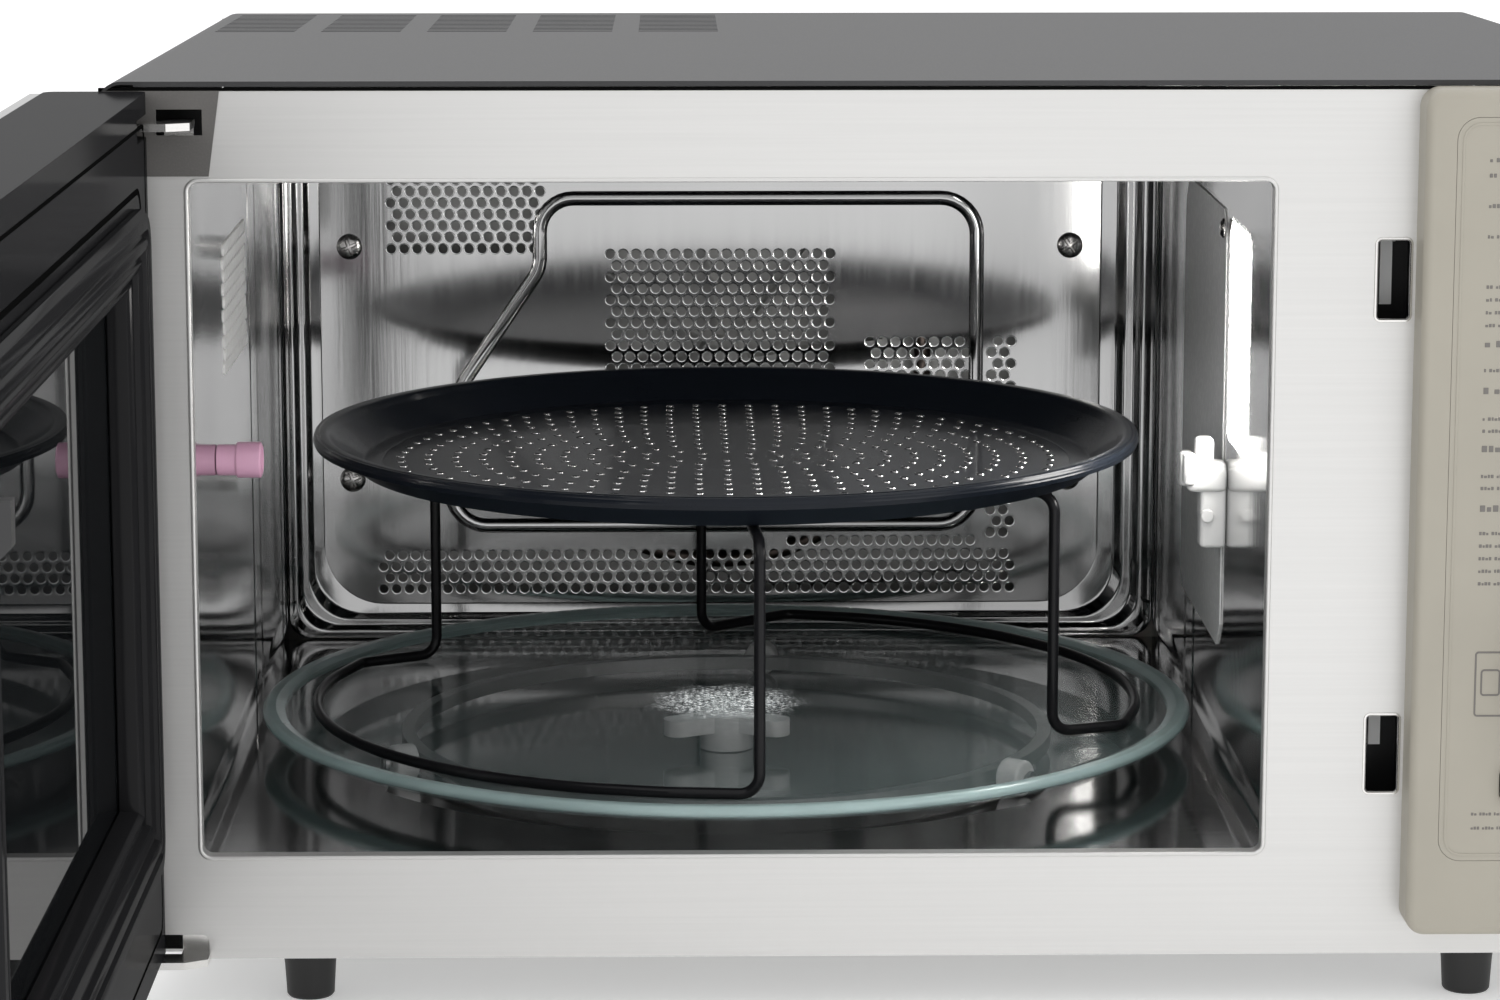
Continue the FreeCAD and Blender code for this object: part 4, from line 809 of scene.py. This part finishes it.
def markGrid():
    # Plain marks in place of the legends: rows of small bars whose widths and gaps follow a sine of their number.
    parts, face = [], marks["face"]
    for z, width, height in markRows:
        x, k = marks["left"], 0
        while x < marks["left"] + width:
            bar = height * (0.55 + 0.3 * abs(math.sin(1.7 * k + z)))
            tall = height * (1 if (k + int(z)) % 3 else 0.72)
            parts.append(softBox((x, face - 0.1, z), (x + bar, face + 0.2, z + tall), 0.08, steps=2))
            x += bar + height * (0.28 if (k + int(z)) % 4 else 0.95)
            k += 1
    section = [(0, face + 0.2), (0, face - 0.1), (0.6, face - 0.1), (0.6, face + 0.2)]
    parts += [ringPiece((x, z, x + wide, z + high), 1.2, section) for x, z, wide, high in marks["frames"]]
    return joined(parts)


addPiece("panel_marks", *placed(markGrid(), inOven), "oven_body", "mark", "overlay_film")
for name, body in (("start", "start_key"), ("stop", "stop_key")):
    low, high = (np.array(v) * 1000 - (middleX * 1000, frontY * 1000, 0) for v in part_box(name + "_button"))
    addPiece(name + "_key_cap", *placed(softBox(low, high, 1.5, axis="y"), inOven), body, "panel", "panel_plastic",
             [name + "_button"])
    sign = softBox((low[0] + 7, low[1] - 0.06, low[2] + 5.4), (high[0] - 7, low[1] + 0.2, low[2] + 6.6), 0.1, steps=2)
    addPiece(name + "_key_mark", *placed(sign, inOven), body, "mark", "panel_plastic")

plateTop = plateHigh.z * 1000
# painted shadow: near-black bars along the cover's front edges stand for the shade in the gap between the cover and
# the front plate
hem = {"front": -0.35, "back": 0.5, "low": 21, "inner": 258.3, "outer": 259.4, "ease": 0.2}
hemBars = [((-hem["outer"], hem["low"]), (-hem["inner"], plateTop)),
           ((hem["inner"], hem["low"]), (hem["outer"], plateTop)),
           ((-hem["outer"], plateTop - 0.6), (hem["outer"], plateTop + 0.5))]
hemParts = [softBox((x0, hem["front"], z0), (x1, hem["back"], z1), hem["ease"], steps=2)
            for (x0, z0), (x1, z1) in hemBars]
addPiece("cover_hem_gap_shadow", *placed(joined(hemParts), inOven), "oven_body", "groove", "plate_steel")
latchSlot = {"left": 157.5, "right": 168, "high": 26, "radius": 1.2, "bottoms": (76, 235.5),
             "section": [(-1.1, 0.05), (-0.9, -0.3), (-0.3, -0.35), (0.02, 0.1), (0.02, 1.2), (-0.4, 1.2),
                         (-0.4, 0.3)]}
slotRims = [ringPiece((latchSlot["left"], z, latchSlot["right"], z + latchSlot["high"]), latchSlot["radius"],
                      latchSlot["section"]) for z in latchSlot["bottoms"]]
addPiece("slot_rims", *placed(joined(slotRims), inOven), "oven_body", "bright", "plate_steel")
print("panel made")


# floor, light and camera

def stagePlane(name, corners, paint):
    # One flat face that belongs to the studio and not to the part.
    mesh = bpy.data.meshes.new(name)
    mesh.from_pydata(corners, [], [(0, 1, 2, 3)])
    plane = bpy.data.objects.new(name, mesh)
    bpy.context.scene.collection.objects.link(plane)
    mesh.materials.append(paint)


floorPaint = Paint("studioFloor", Roughness=0.9, Emission_Strength=0.3)
floorPaint.set("Emission Color", (1.0, 1.0, 1.0))
floorPaint.set("Base Color", (0.93, 0.93, 0.93))
stagePlane("studio_floor", [(-9, -9, 0), (9, -9, 0), (9, 9, 0), (-9, 9, 0)], floorPaint.material)

world = bpy.data.worlds.new("studio")
bpy.context.scene.world = world
world.use_nodes = True
world.node_tree.nodes["Background"].inputs["Color"].default_value = (1, 1, 1, 1)
world.node_tree.nodes["Background"].inputs["Strength"].default_value = 1.0

lamps = {
    "leftBox": {"place": (-1.6, -1.9, 1.7), "aim": (0, 0, 0.15), "size": 1.3, "power": 9},
    "rightBox": {"place": (1.9, -1.5, 1.6), "aim": (0, 0, 0.15), "size": 1.1, "power": 6},
    "topBox": {"place": (0.1, 0.3, 2.2), "aim": (0, 0.2, 0.2), "size": 1.6, "power": 5},
}
for name, s in lamps.items():
    light = bpy.data.lights.new(name, "AREA")
    light.shape, light.size, light.energy = "SQUARE", s["size"], s["power"]
    lamp = bpy.data.objects.new(name, light)
    bpy.context.scene.collection.objects.link(lamp)
    away = np.array(s["place"]) - np.array(s["aim"])
    lamp.location = s["place"]
    lamp.rotation_euler = (math.atan2(math.hypot(away[0], away[1]), away[2]), 0, math.atan2(away[0], -away[1]))

cameraSettings = {"place": (-73.7, -1440.8, 434.3), "down": 10.17, "right": 1.01, "lens": 106.5}
cameraData = bpy.data.cameras.new("camera")
cameraData.lens, cameraData.sensor_width = cameraSettings["lens"], 36
cameraData.clip_start, cameraData.clip_end = 0.05, 60
camera = bpy.data.objects.new("camera", cameraData)
bpy.context.scene.collection.objects.link(camera)
camera.location = inOven(cameraSettings["place"])
camera.rotation_euler = (math.radians(90 - cameraSettings["down"]), 0, math.radians(-cameraSettings["right"]))
bpy.context.scene.camera = camera
bpy.context.scene.view_settings.view_transform = "Standard"
print("camera and light set")
